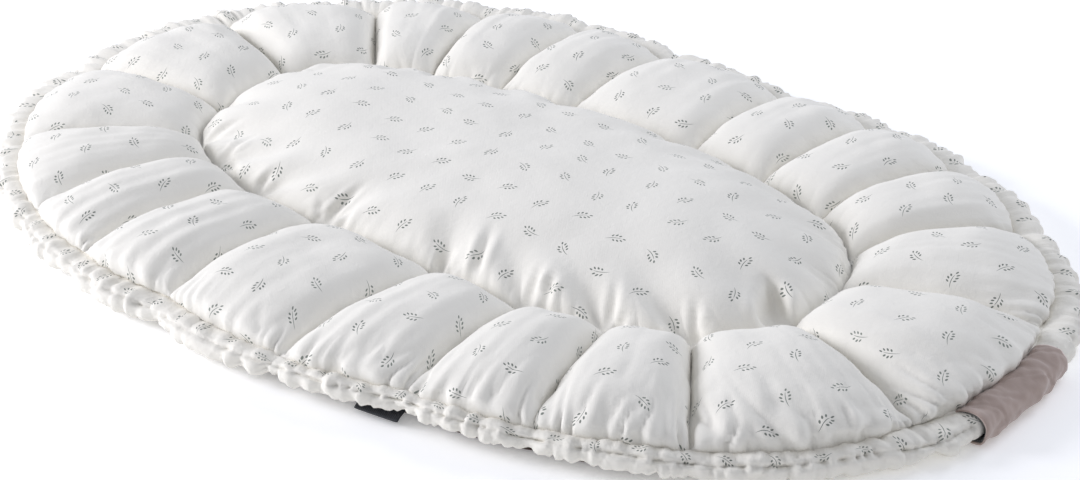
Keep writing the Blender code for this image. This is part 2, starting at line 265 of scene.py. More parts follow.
@dataclass(frozen=True)
class PrintedCotton(Cloth):
    """White cotton printed all over with small tossed leaf sprigs.

    A sprig is a curved stem with paired leaves and a leaf at its tip, one in each cell of a
    staggered repeat, turned and shifted at random.
    """

    ink: str = "#5E665F"
    ink_second: str = "#7A8279"
    repeat: float = 46.0
    row_shift: float = 0.43
    wander: float = 11.0
    print_strength: float = 0.92
    ink_bleed: float = 0.18
    stem_bend: float = 0.020
    pair_step: float = 0.9
    stem: Leaf = Leaf(0.0, -2.2, 0.34, 7.8, 0.0)
    leaves: tuple[Leaf, ...] = (
        Leaf(3.5, -2.6, 1.55, 0.85, 38.0),
        Leaf(3.9, 1.2, 1.65, 0.90, 44.0),
        Leaf(3.0, 4.8, 1.60, 0.85, 52.0),
    )
    tip: Leaf = Leaf(0.0, 8.4, 1.60, 0.85, 90.0)

    def colour_of(self, tree: bpy.types.NodeTree, flat: bpy.types.NodeSocket) -> bpy.types.NodeSocket:
        """Prints the sprigs on the cotton's white.

        Args:
            tree: The node tree.
            flat: The place on the flat cloth in millimetres.

        Returns:
            The printed cotton's colour.
        """
        ground = super().colour_of(tree, flat)
        local, tone = self.sprig_place(tree, flat)
        nearest = self.sprig_distance(tree, local)
        edge = {
            "Value": nearest, "From Min": 1.0 - self.ink_bleed, "From Max": 1.0 + self.ink_bleed,
            "To Min": self.print_strength, "To Max": 0.0,
        }
        inked = add_node(tree, "ShaderNodeMapRange", edge, interpolation_type="SMOOTHSTEP")
        inks = {MIX_SHARE: tone, MIX_FIRST: linear(self.ink), MIX_SECOND: linear(self.ink_second)}
        ink = add_node(tree, "ShaderNodeMix", inks, data_type="RGBA").outputs[MIX_RESULT]
        printed = {MIX_SHARE: inked.outputs[0], MIX_FIRST: ground, MIX_SECOND: ink}
        return add_node(tree, "ShaderNodeMix", printed, data_type="RGBA").outputs[MIX_RESULT]

    def sprig_place(
        self, tree: bpy.types.NodeTree, flat: bpy.types.NodeSocket
    ) -> tuple[bpy.types.NodeSocket, bpy.types.NodeSocket]:
        """Finds the cell of the repeat and the place in it.

        Args:
            tree: The node tree.
            flat: The place on the flat cloth in millimetres.

        Returns:
            The place in millimetres from the sprig's middle, turned with it, and the ink's tone.
        """
        scaled = add_node(tree, VECTORS, {0: flat, "Scale": 1.0 / self.repeat}, operation="SCALE")
        rows = add_node(tree, "ShaderNodeSeparateXYZ", {0: scaled.outputs[0]})
        row = add_node(tree, MATHS, {0: rows.outputs[1]}, operation="FLOOR")
        slide = add_node(tree, MATHS, {0: row.outputs[0], 1: self.row_shift}, operation="MULTIPLY")
        slid = add_node(tree, "ShaderNodeCombineXYZ", {0: slide.outputs[0]})
        place = add_node(tree, VECTORS, {0: scaled.outputs[0], 1: slid.outputs[0]}, operation="ADD")
        cell = add_node(tree, VECTORS, {0: place.outputs[0]}, operation="FLOOR")
        inside = add_node(tree, VECTORS, {0: place.outputs[0]}, operation="FRACTION")
        chance = add_node(tree, "ShaderNodeTexWhiteNoise", {"Vector": cell.outputs[0]}, noise_dimensions="2D")
        stray = self.wander / self.repeat
        way = {0: chance.outputs["Color"], 1: (stray, stray, 0.0)}
        strayed = add_node(tree, VECTORS, way, operation="MULTIPLY")
        middle = 0.5 - 0.5 * stray
        from_middle = {0: inside.outputs[0], 1: (middle, middle, 0.0)}
        centred = add_node(tree, VECTORS, from_middle, operation="SUBTRACT")
        from_sprig = {0: centred.outputs[0], 1: strayed.outputs[0]}
        moved = add_node(tree, VECTORS, from_sprig, operation="SUBTRACT")
        sized = add_node(tree, VECTORS, {0: moved.outputs[0], "Scale": self.repeat}, operation="SCALE")
        shares = add_node(tree, "ShaderNodeSeparateColor", {0: chance.outputs["Color"]})
        angle = add_node(tree, MATHS, {0: shares.outputs[2], 1: math.tau}, operation="MULTIPLY")
        turned = {"Vector": sized.outputs[0], "Angle": angle.outputs[0]}
        local = add_node(tree, "ShaderNodeVectorRotate", turned, rotation_type="Z_AXIS")
        return local.outputs[0], chance.outputs["Value"]

    def sprig_distance(self, tree: bpy.types.NodeTree, local: bpy.types.NodeSocket) -> bpy.types.NodeSocket:
        """Measures how near a place is to the sprig.

        Args:
            tree: The node tree.
            local: The place in millimetres from the sprig's middle, turned with it.

        Returns:
            A number that is under one inside the stem and the leaves.
        """
        parts = add_node(tree, "ShaderNodeSeparateXYZ", {0: local})
        along = parts.outputs[1]
        squared = add_node(tree, MATHS, {0: along, 1: along}, operation="MULTIPLY")
        bent = {0: squared.outputs[0], 1: -self.stem_bend, 2: parts.outputs[0]}
        across = add_node(tree, MATHS, bent, operation="MULTIPLY_ADD").outputs[0]
        stem = add_node(tree, "ShaderNodeCombineXYZ", {0: across, 1: along})
        side = add_node(tree, MATHS, {0: across}, operation="SIGN")
        lower_side = {0: side.outputs[0], 1: -self.pair_step, 2: along}
        stepped = add_node(tree, MATHS, lower_side, operation="MULTIPLY_ADD")
        mirrored = add_node(tree, MATHS, {0: across}, operation="ABSOLUTE")
        pair = add_node(tree, "ShaderNodeCombineXYZ", {0: mirrored.outputs[0], 1: stepped.outputs[0]})
        nearest = self.leaf_distance(tree, stem.outputs[0], self.stem)
        for place, leaf in ((stem, self.tip), *((pair, leaf) for leaf in self.leaves)):
            distance = self.leaf_distance(tree, place.outputs[0], leaf)
            nearest = add_node(tree, MATHS, {0: nearest, 1: distance}, operation="MINIMUM").outputs[0]
        return nearest

    def leaf_distance(
        self, tree: bpy.types.NodeTree, place: bpy.types.NodeSocket, leaf: Leaf
    ) -> bpy.types.NodeSocket:
        """Measures how near a place is to one leaf.

        Args:
            tree: The node tree.
            place: The place in millimetres.
            leaf: The leaf.

        Returns:
            The distance from the leaf's middle, as a share of its size.
        """
        fitted = add_node(tree, "ShaderNodeMapping", {
            "Vector": place,
            "Location": (leaf.across, leaf.up, 0.0),
            "Rotation": (0.0, 0.0, math.radians(leaf.lean)),
            "Scale": (leaf.half_length, leaf.half_width, 1.0),
        }, vector_type="TEXTURE")
        return add_node(tree, VECTORS, {0: fitted.outputs[0]}, operation="LENGTH").outputs["Value"]


# Bleached cotton percale, plain woven and pigment printed: matt and white, a little warm in its folds
PRINTED_COTTON = PrintedCotton("printed_cotton_percale", "#F0EDE5", "#EAE7DF", Weave.PLAIN, 0.82, 0.12)
# The same cotton, sewn as a gathered strip: the same print, more creased
CASING_COTTON = PrintedCotton(
    "gathered_cotton_percale", "#F0EDE4", "#E8E4DB", Weave.PLAIN, 0.84, 0.12,
    crease_span=6.0, crease_relief=0.55,
)
# Brushed taupe cotton twill of the cuff: soft, dull, lighter where the nap catches the light
CUFF_COTTON = Cloth("brushed_cotton_twill", "#B3A198", "#A29088", Weave.TWILL, 0.80, 0.35, crease_span=12.0)
# Turned hem at the cuff's upper mouth: pale tape folded over the raw edge
HEM_TAPE = Cloth("folded_hem_tape", "#E2D3CC", "#D9C8C0", Weave.PLAIN, 0.80, 0.20)
# Dyed plain cotton of the backing: dark taupe and matt
BACKING_COTTON = Cloth("dyed_cotton_backing", "#5B4B45", "#4C3F3A", Weave.PLAIN, 0.88, 0.15, crease_span=25.0)
# Black napped sheet lining the cuff's lower mouth: black fuzz that swallows the light, so the mouth shows
# black
BLACK_MOUTH_LINING = Cloth(
    "black_napped_mouth_lining", "#17181A", "#26272A", Weave.PLAIN, 0.96, 0.60,
    relief=0.6, crease_span=1.6, crease_relief=1.0,
)
# Woven polyester webbing: charcoal, ribbed across, with a faint shine
STRAP_WEBBING = Cloth(
    "woven_polyester_webbing", "#2B2D31", "#3A3C40", Weave.RIBBED, 0.58, 0.10,
    drawn_thread=0.9, relief=0.5,
)


# Meshes from grids of points


class NoiseField(Enum):
    """What a noise is for, with the shift that tells its pattern from the others."""

    WEDGE_SWELL = 1.3
    MIDDLE_SWELL = 2.2
    SIDE_PUCKERS = 3.1
    MIDDLE_PUCKERS = 4.4
    WEDGE_RIPPLE = 5.9
    INNER_PUCKERS = 7.7
    MIDDLE_RIPPLE = 8.8
    RIM_GATHERS = 11.3
    BROAD_RUFFLES = 21.0
    FINE_GATHERS = 33.0
    STITCHES = 41.0
    CUFF_RUMPLE = 51.0
    SMALL_RUMPLE = 53.0
    NAP = 57.0
    EDGE_OUT = 61.0
    EDGE_UP = 67.0


def soft_noise(points: Array, span: float, field: NoiseField) -> Array:
    """Reads smooth noise at each point.

    Args:
        points: An array whose last axis holds up to three coordinates in metres.
        span: The size of one swell of the noise, in metres.
        field: What the noise is for.

    Returns:
        Noise from about -1 to 1, with the shape of the points' other axes.
    """
    padded = np.zeros((*points.shape[:-1], 3))
    padded[..., :points.shape[-1]] = points / span
    padded += field.value * np.array(NOISE_SHIFT)
    values = [noise.noise(Vector(point)) for point in padded.reshape(-1, 3)]
    return np.array(values).reshape(points.shape[:-1]) * NOISE_GAIN


def ridged(values: Array) -> Array:
    """Turns smooth noise to narrow folds with round backs, from -1 in the creases to 1."""
    return 1.0 - 2.0 * np.exp(-np.abs(values) * CREASE_SHARPNESS)


def ease(share: Array) -> Array:
    """Returns a soft step from 0 to 1."""
    return share * share * (3.0 - 2.0 * share)


def arc_length(points: Array, axis: int) -> Array:
    """Sums the length of cloth along one axis of a grid.

    Args:
        points: The grid.
        axis: The axis that it runs along.

    Returns:
        The length from the first point to each point.
    """
    steps = np.linalg.norm(np.diff(points, axis=axis), axis=-1)
    start = np.zeros_like(np.take(steps, [0], axis=axis))
    return np.concatenate((start, np.cumsum(steps, axis=axis)), axis=axis)


def corners_of(flat: Array) -> Array:
    """Returns the flat places of each face's four corners from a grid of them."""
    return np.stack((flat[:-1, :-1], flat[:-1, 1:], flat[1:, 1:], flat[1:, :-1]), axis=2)


class Patch(NamedTuple):
    """A grid of points whose rows close to rings, and the flat places of its faces' corners."""

    grid: Array
    corners: Array


class ClothMesh:
    """Collects points and faces of one piece of cloth, with its flat places as UVs."""

    def __init__(self, name: str) -> None:
        """Starts an empty piece.

        Args:
            name: The piece's name.
        """
        self.name = name
        self.points: list[Array] = []
        self.faces: list[list[int]] = []
        self.flat: list[Array] = []
        self.slots: list[int] = []
        self.count = 0

    def add(self, patch: Patch) -> int:
        """Adds a grid of quads.

        Args:
            patch: The grid and its flat places.

        Returns:
            The number of the patch's first point.
        """
        rows, columns = patch.grid.shape[:2]
        first = self.count
        index = np.arange(rows * columns).reshape(rows, columns) + first
        index = np.concatenate((index, index[:, :1]), axis=1)
        quads = np.stack((index[:-1, :-1], index[:-1, 1:], index[1:, 1:], index[1:, :-1]), axis=2)
        self.points.append(patch.grid.reshape(-1, 3))
        self.faces += quads.reshape(-1, 4).tolist()
        self.flat.append(patch.corners.reshape(-1, 2))
        self.slots += [0] * len(quads.reshape(-1, 4))
        self.count += rows * columns
        return first

    def join_rows(self, shape: tuple[int, ...], corners: Array) -> None:
        """Joins the last row of the only patch to its first row, so that the wall closes.

        Args:
            shape: The shape of the patch's grid.
            corners: The flat places of the new faces' corners.
        """
        rows, columns = shape[:2]
        last = [(rows - 1) * columns + i for i in range(columns)] + [(rows - 1) * columns]
        first = list(range(columns)) + [0]
        self.faces += [[last[i], last[i + 1], first[i + 1], first[i]] for i in range(columns)]
        self.flat.append(corners.reshape(-1, 2))
        self.slots += [0] * columns

    def paint_rows(self, columns: int, first: int, last: int, slot: int) -> None:
        """Gives the faces of some rows of the first patch another material."""
        for index in range(first * columns, last * columns):
            self.slots[index] = slot

    def close(self, ring: list[int], flat: Array) -> None:
        """Closes a ring of points with one face.

        Args:
            ring: The points' numbers, in order.
            flat: Their flat places.
        """
        self.faces.append(ring)
        self.flat.append(flat)
        self.slots.append(0)

    def make(
        self, finishes: list[bpy.types.Material], middle: tuple[float, float, float]
    ) -> bpy.types.Object:
        """Makes the object.

        Args:
            finishes: The piece's materials, in order of their numbers.
            middle: Where the plan's own middle lies in the frame.

        Returns:
            The new object, shaded smooth.
        """
        mesh = bpy.data.meshes.new(self.name)
        points = np.concatenate(self.points) + np.array(middle)
        mesh.from_pydata(points.tolist(), [], self.faces)
        layer = mesh.uv_layers.new(name="flat_cloth")
        layer.data.foreach_set("uv", np.concatenate(self.flat).astype(np.float32).ravel())
        mesh.polygons.foreach_set("material_index", np.array(self.slots, dtype=np.int32))
        for finish in finishes:
            mesh.materials.append(finish)
        shape = bmesh.new()
        shape.from_mesh(mesh)
        bmesh.ops.recalc_face_normals(shape, faces=shape.faces)
        shape.to_mesh(mesh)
        shape.free()
        mesh.shade_smooth()
        mesh.update()
        piece = bpy.data.objects.new(self.name, mesh)
        bpy.context.scene.collection.objects.link(piece)
        return piece


# The sewn plan that every piece shares


class Seam(NamedTuple):
    """A radial seam: its ends on the two ovals, their pull, its pucker and the next wedge's fill."""

    outer_at: float
    outer_pull: float
    inner_at: float
    inner_pull: float
    pucker: float
    fill: float


class Rim(NamedTuple):
    """A station round the casing."""

    at: float
    half_width: float
    half_height: float
    middle: float
    inner_gap: float
    edge: float
    backing_out: float


class SewnEdge(NamedTuple):
    """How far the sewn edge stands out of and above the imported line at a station."""

    at: float
    out: float
    up: float


class Oval(NamedTuple):
    """A superellipse, by its half axes and power."""

    half_length: float
    half_width: float
    power: float

    def at(self, degrees: Array) -> Array:
        """Finds the points at these stations.

        Args:
            degrees: The stations.

        Returns:
            The points in plan.
        """
        turn = np.radians(degrees)
        cosine, sine = np.cos(turn), np.sin(turn)
        x = np.sign(cosine) * np.abs(cosine) ** (2.0 / self.power) * self.half_length
        y = np.sign(sine) * np.abs(sine) ** (2.0 / self.power) * self.half_width
        return np.stack((x, y), axis=-1)


SEAMS = (
    Seam(12.8, 1.015, 6.5, 0.990, 0.006, 1.00),
    Seam(40.2, 0.993, 29.0, 0.995, 0.009, 0.98),
    Seam(58.0, 0.999, 50.0, 1.000, 0.007, 1.00),
    Seam(71.5, 0.990, 67.5, 1.000, 0.006, 1.02),
    Seam(83.6, 0.972, 82.0, 1.000, 0.006, 1.00),
    Seam(97.0, 0.972, 98.0, 1.000, 0.007, 0.98),
    Seam(108.7, 1.010, 112.0, 1.000, 0.008, 1.00),
    Seam(123.0, 0.978, 128.0, 0.995, 0.009, 1.04),
    Seam(141.2, 0.974, 144.0, 0.975, 0.008, 1.06),
    Seam(167.8, 0.996, 171.0, 1.000, 0.006, 0.98),
    Seam(190.6, 1.006, 194.0, 0.985, 0.007, 0.92),
    Seam(219.0, 1.012, 218.5, 1.010, 0.010, 0.96),
    Seam(240.2, 1.035, 232.0, 1.010, 0.011, 0.98),
    Seam(251.9, 1.030, 248.0, 1.020, 0.010, 1.00),
    Seam(264.2, 1.006, 261.5, 0.985, 0.012, 1.00),
    Seam(276.0, 1.022, 277.4, 0.980, 0.011, 1.00),
    Seam(289.0, 0.990, 291.5, 1.020, 0.012, 1.02),
    Seam(302.4, 0.997, 307.0, 1.015, 0.012, 1.00),
    Seam(318.8, 1.006, 324.8, 1.010, 0.014, 1.06),
    Seam(346.3, 1.010, 350.7, 1.010, 0.012, 1.04),
)
RIM = (
    Rim(0.0, 0.0125, 0.0100, 0.0155, 0.0078, 0.018, -0.001),
    Rim(8.0, 0.0125, 0.0100, 0.0155, 0.0058, 0.018, -0.001),
    Rim(13.0, 0.0180, 0.0130, 0.0165, 0.0010, 0.019, 0.001),
    Rim(32.0, 0.0150, 0.0130, 0.0160, 0.0006, 0.019, 0.001),
    Rim(47.0, 0.0170, 0.0125, 0.0165, 0.0006, 0.020, 0.001),
    Rim(64.0, 0.0185, 0.0120, 0.0170, 0.0006, 0.020, 0.001),
    Rim(84.0, 0.0155, 0.0120, 0.0170, 0.0006, 0.020, 0.001),
    Rim(102.0, 0.0185, 0.0150, 0.0190, 0.0006, 0.022, 0.001),
    Rim(126.0, 0.0215, 0.0175, 0.0240, 0.0006, 0.025, 0.001),
    Rim(150.0, 0.0215, 0.0160, 0.0210, 0.0006, 0.023, 0.001),
    Rim(170.0, 0.0270, 0.0145, 0.0200, 0.0006, 0.021, 0.001),
    Rim(192.0, 0.0225, 0.0120, 0.0150, 0.0006, 0.018, 0.001),
    Rim(216.0, 0.0180, 0.0120, 0.0150, 0.0006, 0.018, 0.001),
    Rim(240.0, 0.0135, 0.0120, 0.0160, 0.0006, 0.020, 0.001),
    Rim(262.0, 0.0150, 0.0110, 0.0170, 0.0006, 0.022, 0.001),
    Rim(284.0, 0.0090, 0.0090, 0.0230, 0.0006, 0.024, -0.003),
    Rim(296.0, 0.0100, 0.0090, 0.0230, 0.0006, 0.024, 0.001),
    Rim(302.5, 0.0115, 0.0095, 0.0210, 0.0006, 0.023, 0.003),
    Rim(310.0, 0.0110, 0.0090, 0.0220, 0.0006, 0.023, 0.004),
    Rim(322.0, 0.0135, 0.0105, 0.0165, 0.0006, 0.020, 0.001),
    Rim(338.0, 0.0135, 0.0115, 0.0150, 0.0006, 0.018, 0.001),
    Rim(347.5, 0.0205, 0.0105, 0.0140, 0.0010, 0.018, -0.001),
    Rim(353.0, 0.0125, 0.0100, 0.0155, 0.0120, 0.018, -0.001),
)


SEWN_EDGES = (
    SewnEdge(0.0, 0.0070, 0.0065),
    SewnEdge(14.0, 0.0000, 0.0030),
    SewnEdge(60.0, 0.0000, 0.0020),
    SewnEdge(150.0, 0.0000, 0.0030),
    SewnEdge(190.0, 0.0050, 0.0070),
    SewnEdge(215.0, 0.0100, 0.0095),
    SewnEdge(255.0, 0.0085, 0.0085),
    SewnEdge(280.0, 0.0065, 0.0050),
    SewnEdge(300.0, 0.0075, 0.0045),
    SewnEdge(338.0, 0.0095, 0.0055),
    SewnEdge(350.0, 0.0095, 0.0060),
)


@dataclass(frozen=True)
class SewnPlan:
    """The sewn lines in plan: two ovals, the radial seams between them and the rim's sizes."""

    middle: tuple[float, float, float] = (0.0030, 0.0041, 0.0)
    outer: Oval = Oval(0.553, 0.373, 2.3)
    inner: Oval = Oval(0.382, 0.188, 2.6)
    scallop: float = 0.004
    edge_step: float = 1.5
    wobble: float = 0.0012
    wobble_span: float = 0.013

    def between(self, rows: tuple, degrees: Array) -> tuple[Array, Array, Array]:
        """Finds the table rows on either side of each station.

        Args:
            rows: A table whose first column is the station in degrees, rising.
            degrees: The stations to find.

        Returns:
            The rows before, the rows after, and the share of the way between them.
        """
        table = np.array(rows)
        turned = np.mod(degrees - table[0, 0], 360.0) + table[0, 0]
        stations = np.append(table[:, 0], table[0, 0] + 360.0)
        index = np.clip(np.searchsorted(stations, turned, side="right") - 1, 0, len(rows) - 1)
        share = (turned - stations[index]) / (stations[index + 1] - stations[index])
        return table[index], table[(index + 1) % len(rows)], share

    def rim_sizes(self, degrees: Array) -> Rim:
        """Finds the rim's sizes at these stations.

        Args:
            degrees: The stations.

        Returns:
            The sizes, each as an array.
        """
        first, second, share = self.between(RIM, degrees)
        sizes = first + (second - first) * ease(share)[..., None]
        return Rim(degrees, *np.moveaxis(sizes[..., 1:], -1, 0))

    def zone(self, rows: tuple, degrees: Array) -> Array:
        """Returns a table's other columns at these stations, blended softly."""
        first, second, share = self.between(rows, degrees)
        return np.moveaxis((first + (second - first) * ease(share)[..., None])[..., 1:], -1, 0)

    def rim_line(self, degrees: Array) -> Array:
        """Finds the outer sewn line: pulled in or out at the seams, fuller between them.

        Args:
            degrees: The stations.

        Returns:
            The line's points in plan.
        """
        first, second, share = self.between(SEAMS, degrees)
        pull = first[..., 1] + (second[..., 1] - first[..., 1]) * ease(share)
        plain = self.outer.at(degrees)
        reach = np.linalg.norm(plain, axis=-1)
        return plain * (pull + self.scallop / reach * np.sin(np.pi * share))[..., None]

    def outward(self, degrees: Array) -> Array:
        """Finds the unit direction out of the plain oval.

        Args:
            degrees: The stations.

        Returns:
            A direction in plan for each station.
        """
        along = self.outer.at(degrees + self.edge_step) - self.outer.at(degrees - self.edge_step)
        along = along / np.linalg.norm(along, axis=-1, keepdims=True)
        return np.stack((along[..., 1], -along[..., 0]), axis=-1)

    def rim_point(self, degrees: Array, out: Array | float) -> Array:
        """Returns points a distance outside the outer sewn line."""
        return self.rim_line(degrees) + self.outward(degrees) * np.asarray(out)[..., None]

    def sewn_edge(self, degrees: Array) -> tuple[Array, Array]:
        """Finds the gathered edge where the wedges and the casing are sewn together.

        Args:
            degrees: The stations.

        Returns:
            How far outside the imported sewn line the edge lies, and its height.
        """
        out, up = self.zone(SEWN_EDGES, degrees)
        line = self.rim_line(degrees)
        out = out + self.wobble * soft_noise(line, self.wobble_span, NoiseField.EDGE_OUT)
        up = up + self.wobble * soft_noise(line, self.wobble_span, NoiseField.EDGE_UP)
        return out, self.rim_sizes(degrees).edge + up

    def seam_distance(self, degrees: Array) -> Array:
        """Returns how far each station is from the nearest radial seam, in degrees."""
        stations = np.array([seam.outer_at for seam in SEAMS])
        return np.abs(np.mod(degrees[..., None] - stations + 180.0, 360.0) - 180.0).min(axis=-1)


PLAN = SewnPlan()


# The quilted bed


class Crease(NamedTuple):
    """A fold that shows by itself: its two ends in plan, its depth and half its width."""

    from_x: float
    from_y: float
    to_x: float
    to_y: float
    depth: float
    half_width: float


class Gather(NamedTuple):
    """The gathers at the rim at a station: their depth and reach, and how far the wedge overhangs."""

    at: float
    depth: float
    reach: float
    overhang: float


class Ray(NamedTuple):
    """One crease of the star at a junction: its lean from straight inward, length and depth."""

    lean: float
    length: float
    depth: float


class Step(NamedTuple):
    """A step in from an edge, and the share of the edge's height there."""

    inset: float
    share: float


def crease_profile(across: Array) -> Array:
    """Returns a soft trough of depth one with a low ridge on each side of it."""
    ridges = np.exp(-((np.abs(across) - RIDGE_PLACE) ** 2) / RIDGE_SPREAD)
    return np.exp(-(across ** 2)) - RIDGE_HEIGHT * ridges


def fade(along: Array, rise: float, fall: float) -> Array:
    """Fades a crease in and out along its length.

    Args:
        along: The share of the crease's length at each point.
        rise: The share over which it deepens.
        fall: The share over which it ends.

    Returns:
        The share of its depth, from 0 to 1.
    """
    first = ease(np.clip(along / rise, 0.0, 1.0))
    last = ease(np.clip((1.0 - along) / fall, 0.0, 1.0))
    return first * last


@dataclass
class QuiltedBed:
    """The quilted bed: one filled piece with a plump middle and a ring of wedges."""

    # The filled form: heights and reaches in metres, and powers for how full a section is
    seam_height: float = 0.0175
    valley_rise: float = 0.004
    petal_crown: float = 0.036
    petal_lean: float = 0.10
    overhang_from: float = 0.70
    centre_crown: float = 0.056
    underside: float = 0.0024
    pucker_half_width: float = 0.011
    pucker_reach: float = 0.020
    pucker_spread: float = 0.25
    usual_pucker: float = 0.012
    side_power: float = 2.9
    side_round: float = 0.50
    end_power: float = 3.0
    end_round: float = 0.5
    bulge_power: float = 5.0
    crown_power: float = 3.0
    crown_round: float = 0.52
    power_drop: float = 0.6
    flank: tuple[Step, ...] = (Step(0.0035, 0.76), Step(0.0100, 0.40), Step(0.0220, 0.13), Step(0.0420, 0.0))
    fill: float = 0.6

    # The mesh: its columns and rows, and how they crowd toward the seams
    per_wedge: int = 56
    wedge_rows: int = 44
    middle_rows: int = 30
    last_inset: float = 0.1855
    level_rows: int = 10
    column_crowding: float = 0.06
    row_crowding: float = 0.07

    # Puckers at the stitches and soft swells of the filling, in metres of cloth
    unevenness: float = 0.0022
    side_puckers: float = 0.0016
    inner_puckers: float = 0.0024
    pucker_span: float = 0.016
    gather_span: float = 0.0135
    side_reach: float = 0.014
    inner_reach: float = 0.016
    middle_reach: float = 0.020
    pucker_stretch: float = 0.30
    stitch_reach: float = 0.003
    wedge_window: float = 0.012
    middle_window: float = 0.020
    seam_shift: float = 0.35
    wedge_shift: float = 0.7
    wedge_swell_span: float = 0.062
    wedge_ripple_span: float = 0.026
    wedge_ripple: float = 0.35
    middle_swell_span: float = 0.085
    middle_ripple_span: float = 0.034
    middle_swell: float = 1.3
    middle_ripple: float = 0.4
    # How a crease bows and ends, and how the stars differ from seam to seam
    crease_bow: float = 0.15
    crease_rise: float = 0.25
    crease_fall: float = 0.55
    star_half_width: float = 0.0042
    star_sway: float = 13.0
    star_stretch: float = 0.3
    # Where the flat cloth of the wedges and of the middle starts
    print_spread: float = 1.12
    print_start: float = 0.01
    gathers: tuple[Gather, ...] = (
        Gather(0.0, 0.0046, 0.036, 0.010),
        Gather(40.0, 0.0020, 0.018, 0.008),
        Gather(100.0, 0.0020, 0.018, 0.008),
        Gather(150.0, 0.0020, 0.020, 0.006),
        Gather(200.0, 0.0018, 0.014, 0.003),
        Gather(240.0, 0.0026, 0.013, 0.003),
        Gather(262.0, 0.0040, 0.018, 0.004),
        Gather(300.0, 0.0066, 0.026, 0.004),
        Gather(330.0, 0.0078, 0.036, 0.005),
        Gather(350.0, 0.0068, 0.036, 0.010),
    )
    stars: tuple[Ray, ...] = (Ray(-42.0, 0.036, 0.0022), Ray(4.0, 0.046, 0.0032), Ray(38.0, 0.032, 0.0020))
    creases: tuple[Crease, ...] = (
        Crease(-0.270, -0.140, -0.205, -0.190, 0.0040, 0.0050),
        Crease(-0.052, -0.214, -0.064, -0.150, 0.0040, 0.0048),
        Crease(-0.032, -0.196, -0.078, -0.184, 0.0030, 0.0045),
        Crease(0.074, -0.190, 0.062, -0.150, 0.0040, 0.0045),
        Crease(0.116, -0.178, 0.088, -0.118, 0.0050, 0.0055),
        Crease(0.200, -0.182, 0.184, -0.136, 0.0040, 0.0045),
        Crease(0.274, -0.178, 0.266, -0.136, 0.0038, 0.0045),
        Crease(0.343, -0.138, 0.330, -0.110, 0.0045, 0.0050),
        Crease(0.376, -0.070, 0.340, -0.012, 0.0110, 0.0095),
        Crease(0.338, -0.024, 0.390, -0.052, 0.0045, 0.0070),
        Crease(0.366, 0.068, 0.346, 0.106, 0.0040, 0.0055),
        Crease(-0.330, 0.030, -0.322, 0.086, 0.0035, 0.0080),
        Crease(-0.262, 0.070, -0.226, 0.136, 0.0045, 0.0090),
        Crease(-0.216, 0.096, -0.214, 0.150, 0.0035, 0.0080),
    )

    def columns(self) -> tuple[Array, Array, Array]:
        """Lists the mesh columns round the bed, closer together at the radial seams.

        Returns:
            For each column, its wedge's first seam and second seam as table rows, and the share
            of the way between them.
        """
        steps = np.arange(self.per_wedge) / self.per_wedge
        shares = np.tile(steps - self.column_crowding * np.sin(2.0 * np.pi * steps), len(SEAMS))
        first = np.repeat(np.arange(len(SEAMS)), self.per_wedge)
        table = np.array(SEAMS)
        return table[first], table[(first + 1) % len(SEAMS)], shares

    def stations(self, column: int) -> Array:
        """Returns the columns' stations on the outer oval (column 0) or the inner oval (column 2)."""
        first, second, share = self.columns()
        return first[:, column] + np.mod(second[:, column] - first[:, column], 360.0) * share

    def inner_line(self) -> Array:
        """Finds the inner sewn line.

        Returns:
            A point in plan for each column.
        """
        first, second, share = self.columns()
        pull = first[:, 3] + (second[:, 3] - first[:, 3]) * ease(share)
        return PLAN.inner.at(self.stations(2)) * pull[:, None]

    def wedge_grid(self) -> Array:
        """Lays out the ring of wedges in their plain crowned form.

        Returns:
            Its grid, from the inner sewn line to the gathered edge.
        """
        first, _, across = self.columns()
        outer_stations = self.stations(0)
        edge_out, edge = PLAN.sewn_edge(outer_stations)
        steps = np.linspace(0.0, 1.0, self.wedge_rows + 1)
        along = (steps - self.row_crowding * np.sin(2.0 * np.pi * steps))[:, None]
        inner, outer = self.inner_line(), PLAN.rim_point(outer_stations, edge_out)
        plan = inner + (outer - inner) * along[..., None]
        overhang = PLAN.zone(self.gathers, outer_stations)[2]
        side = (1.0 - np.abs(2.0 * across - 1.0) ** self.side_power) ** self.side_round
        lean = along ** (1.0 - self.petal_lean)
        end = (1.0 - np.abs(2.0 * lean - 1.0) ** self.end_power) ** self.end_round
        valley = self.seam_height + (edge - self.seam_height) * along
        valley = valley + self.valley_rise * 4.0 * along * (1.0 - along)
        height = valley + self.petal_crown * first[:, 5] * side * end
        late = np.clip((along - self.overhang_from) / (1.0 - self.overhang_from), 0.0, 1.0)
        bulge = overhang * side * np.sin(np.pi * late ** self.bulge_power)
        plan = plan + PLAN.outward(outer_stations) * bulge[..., None]
        return np.concatenate((plan, height[..., None]), axis=-1)

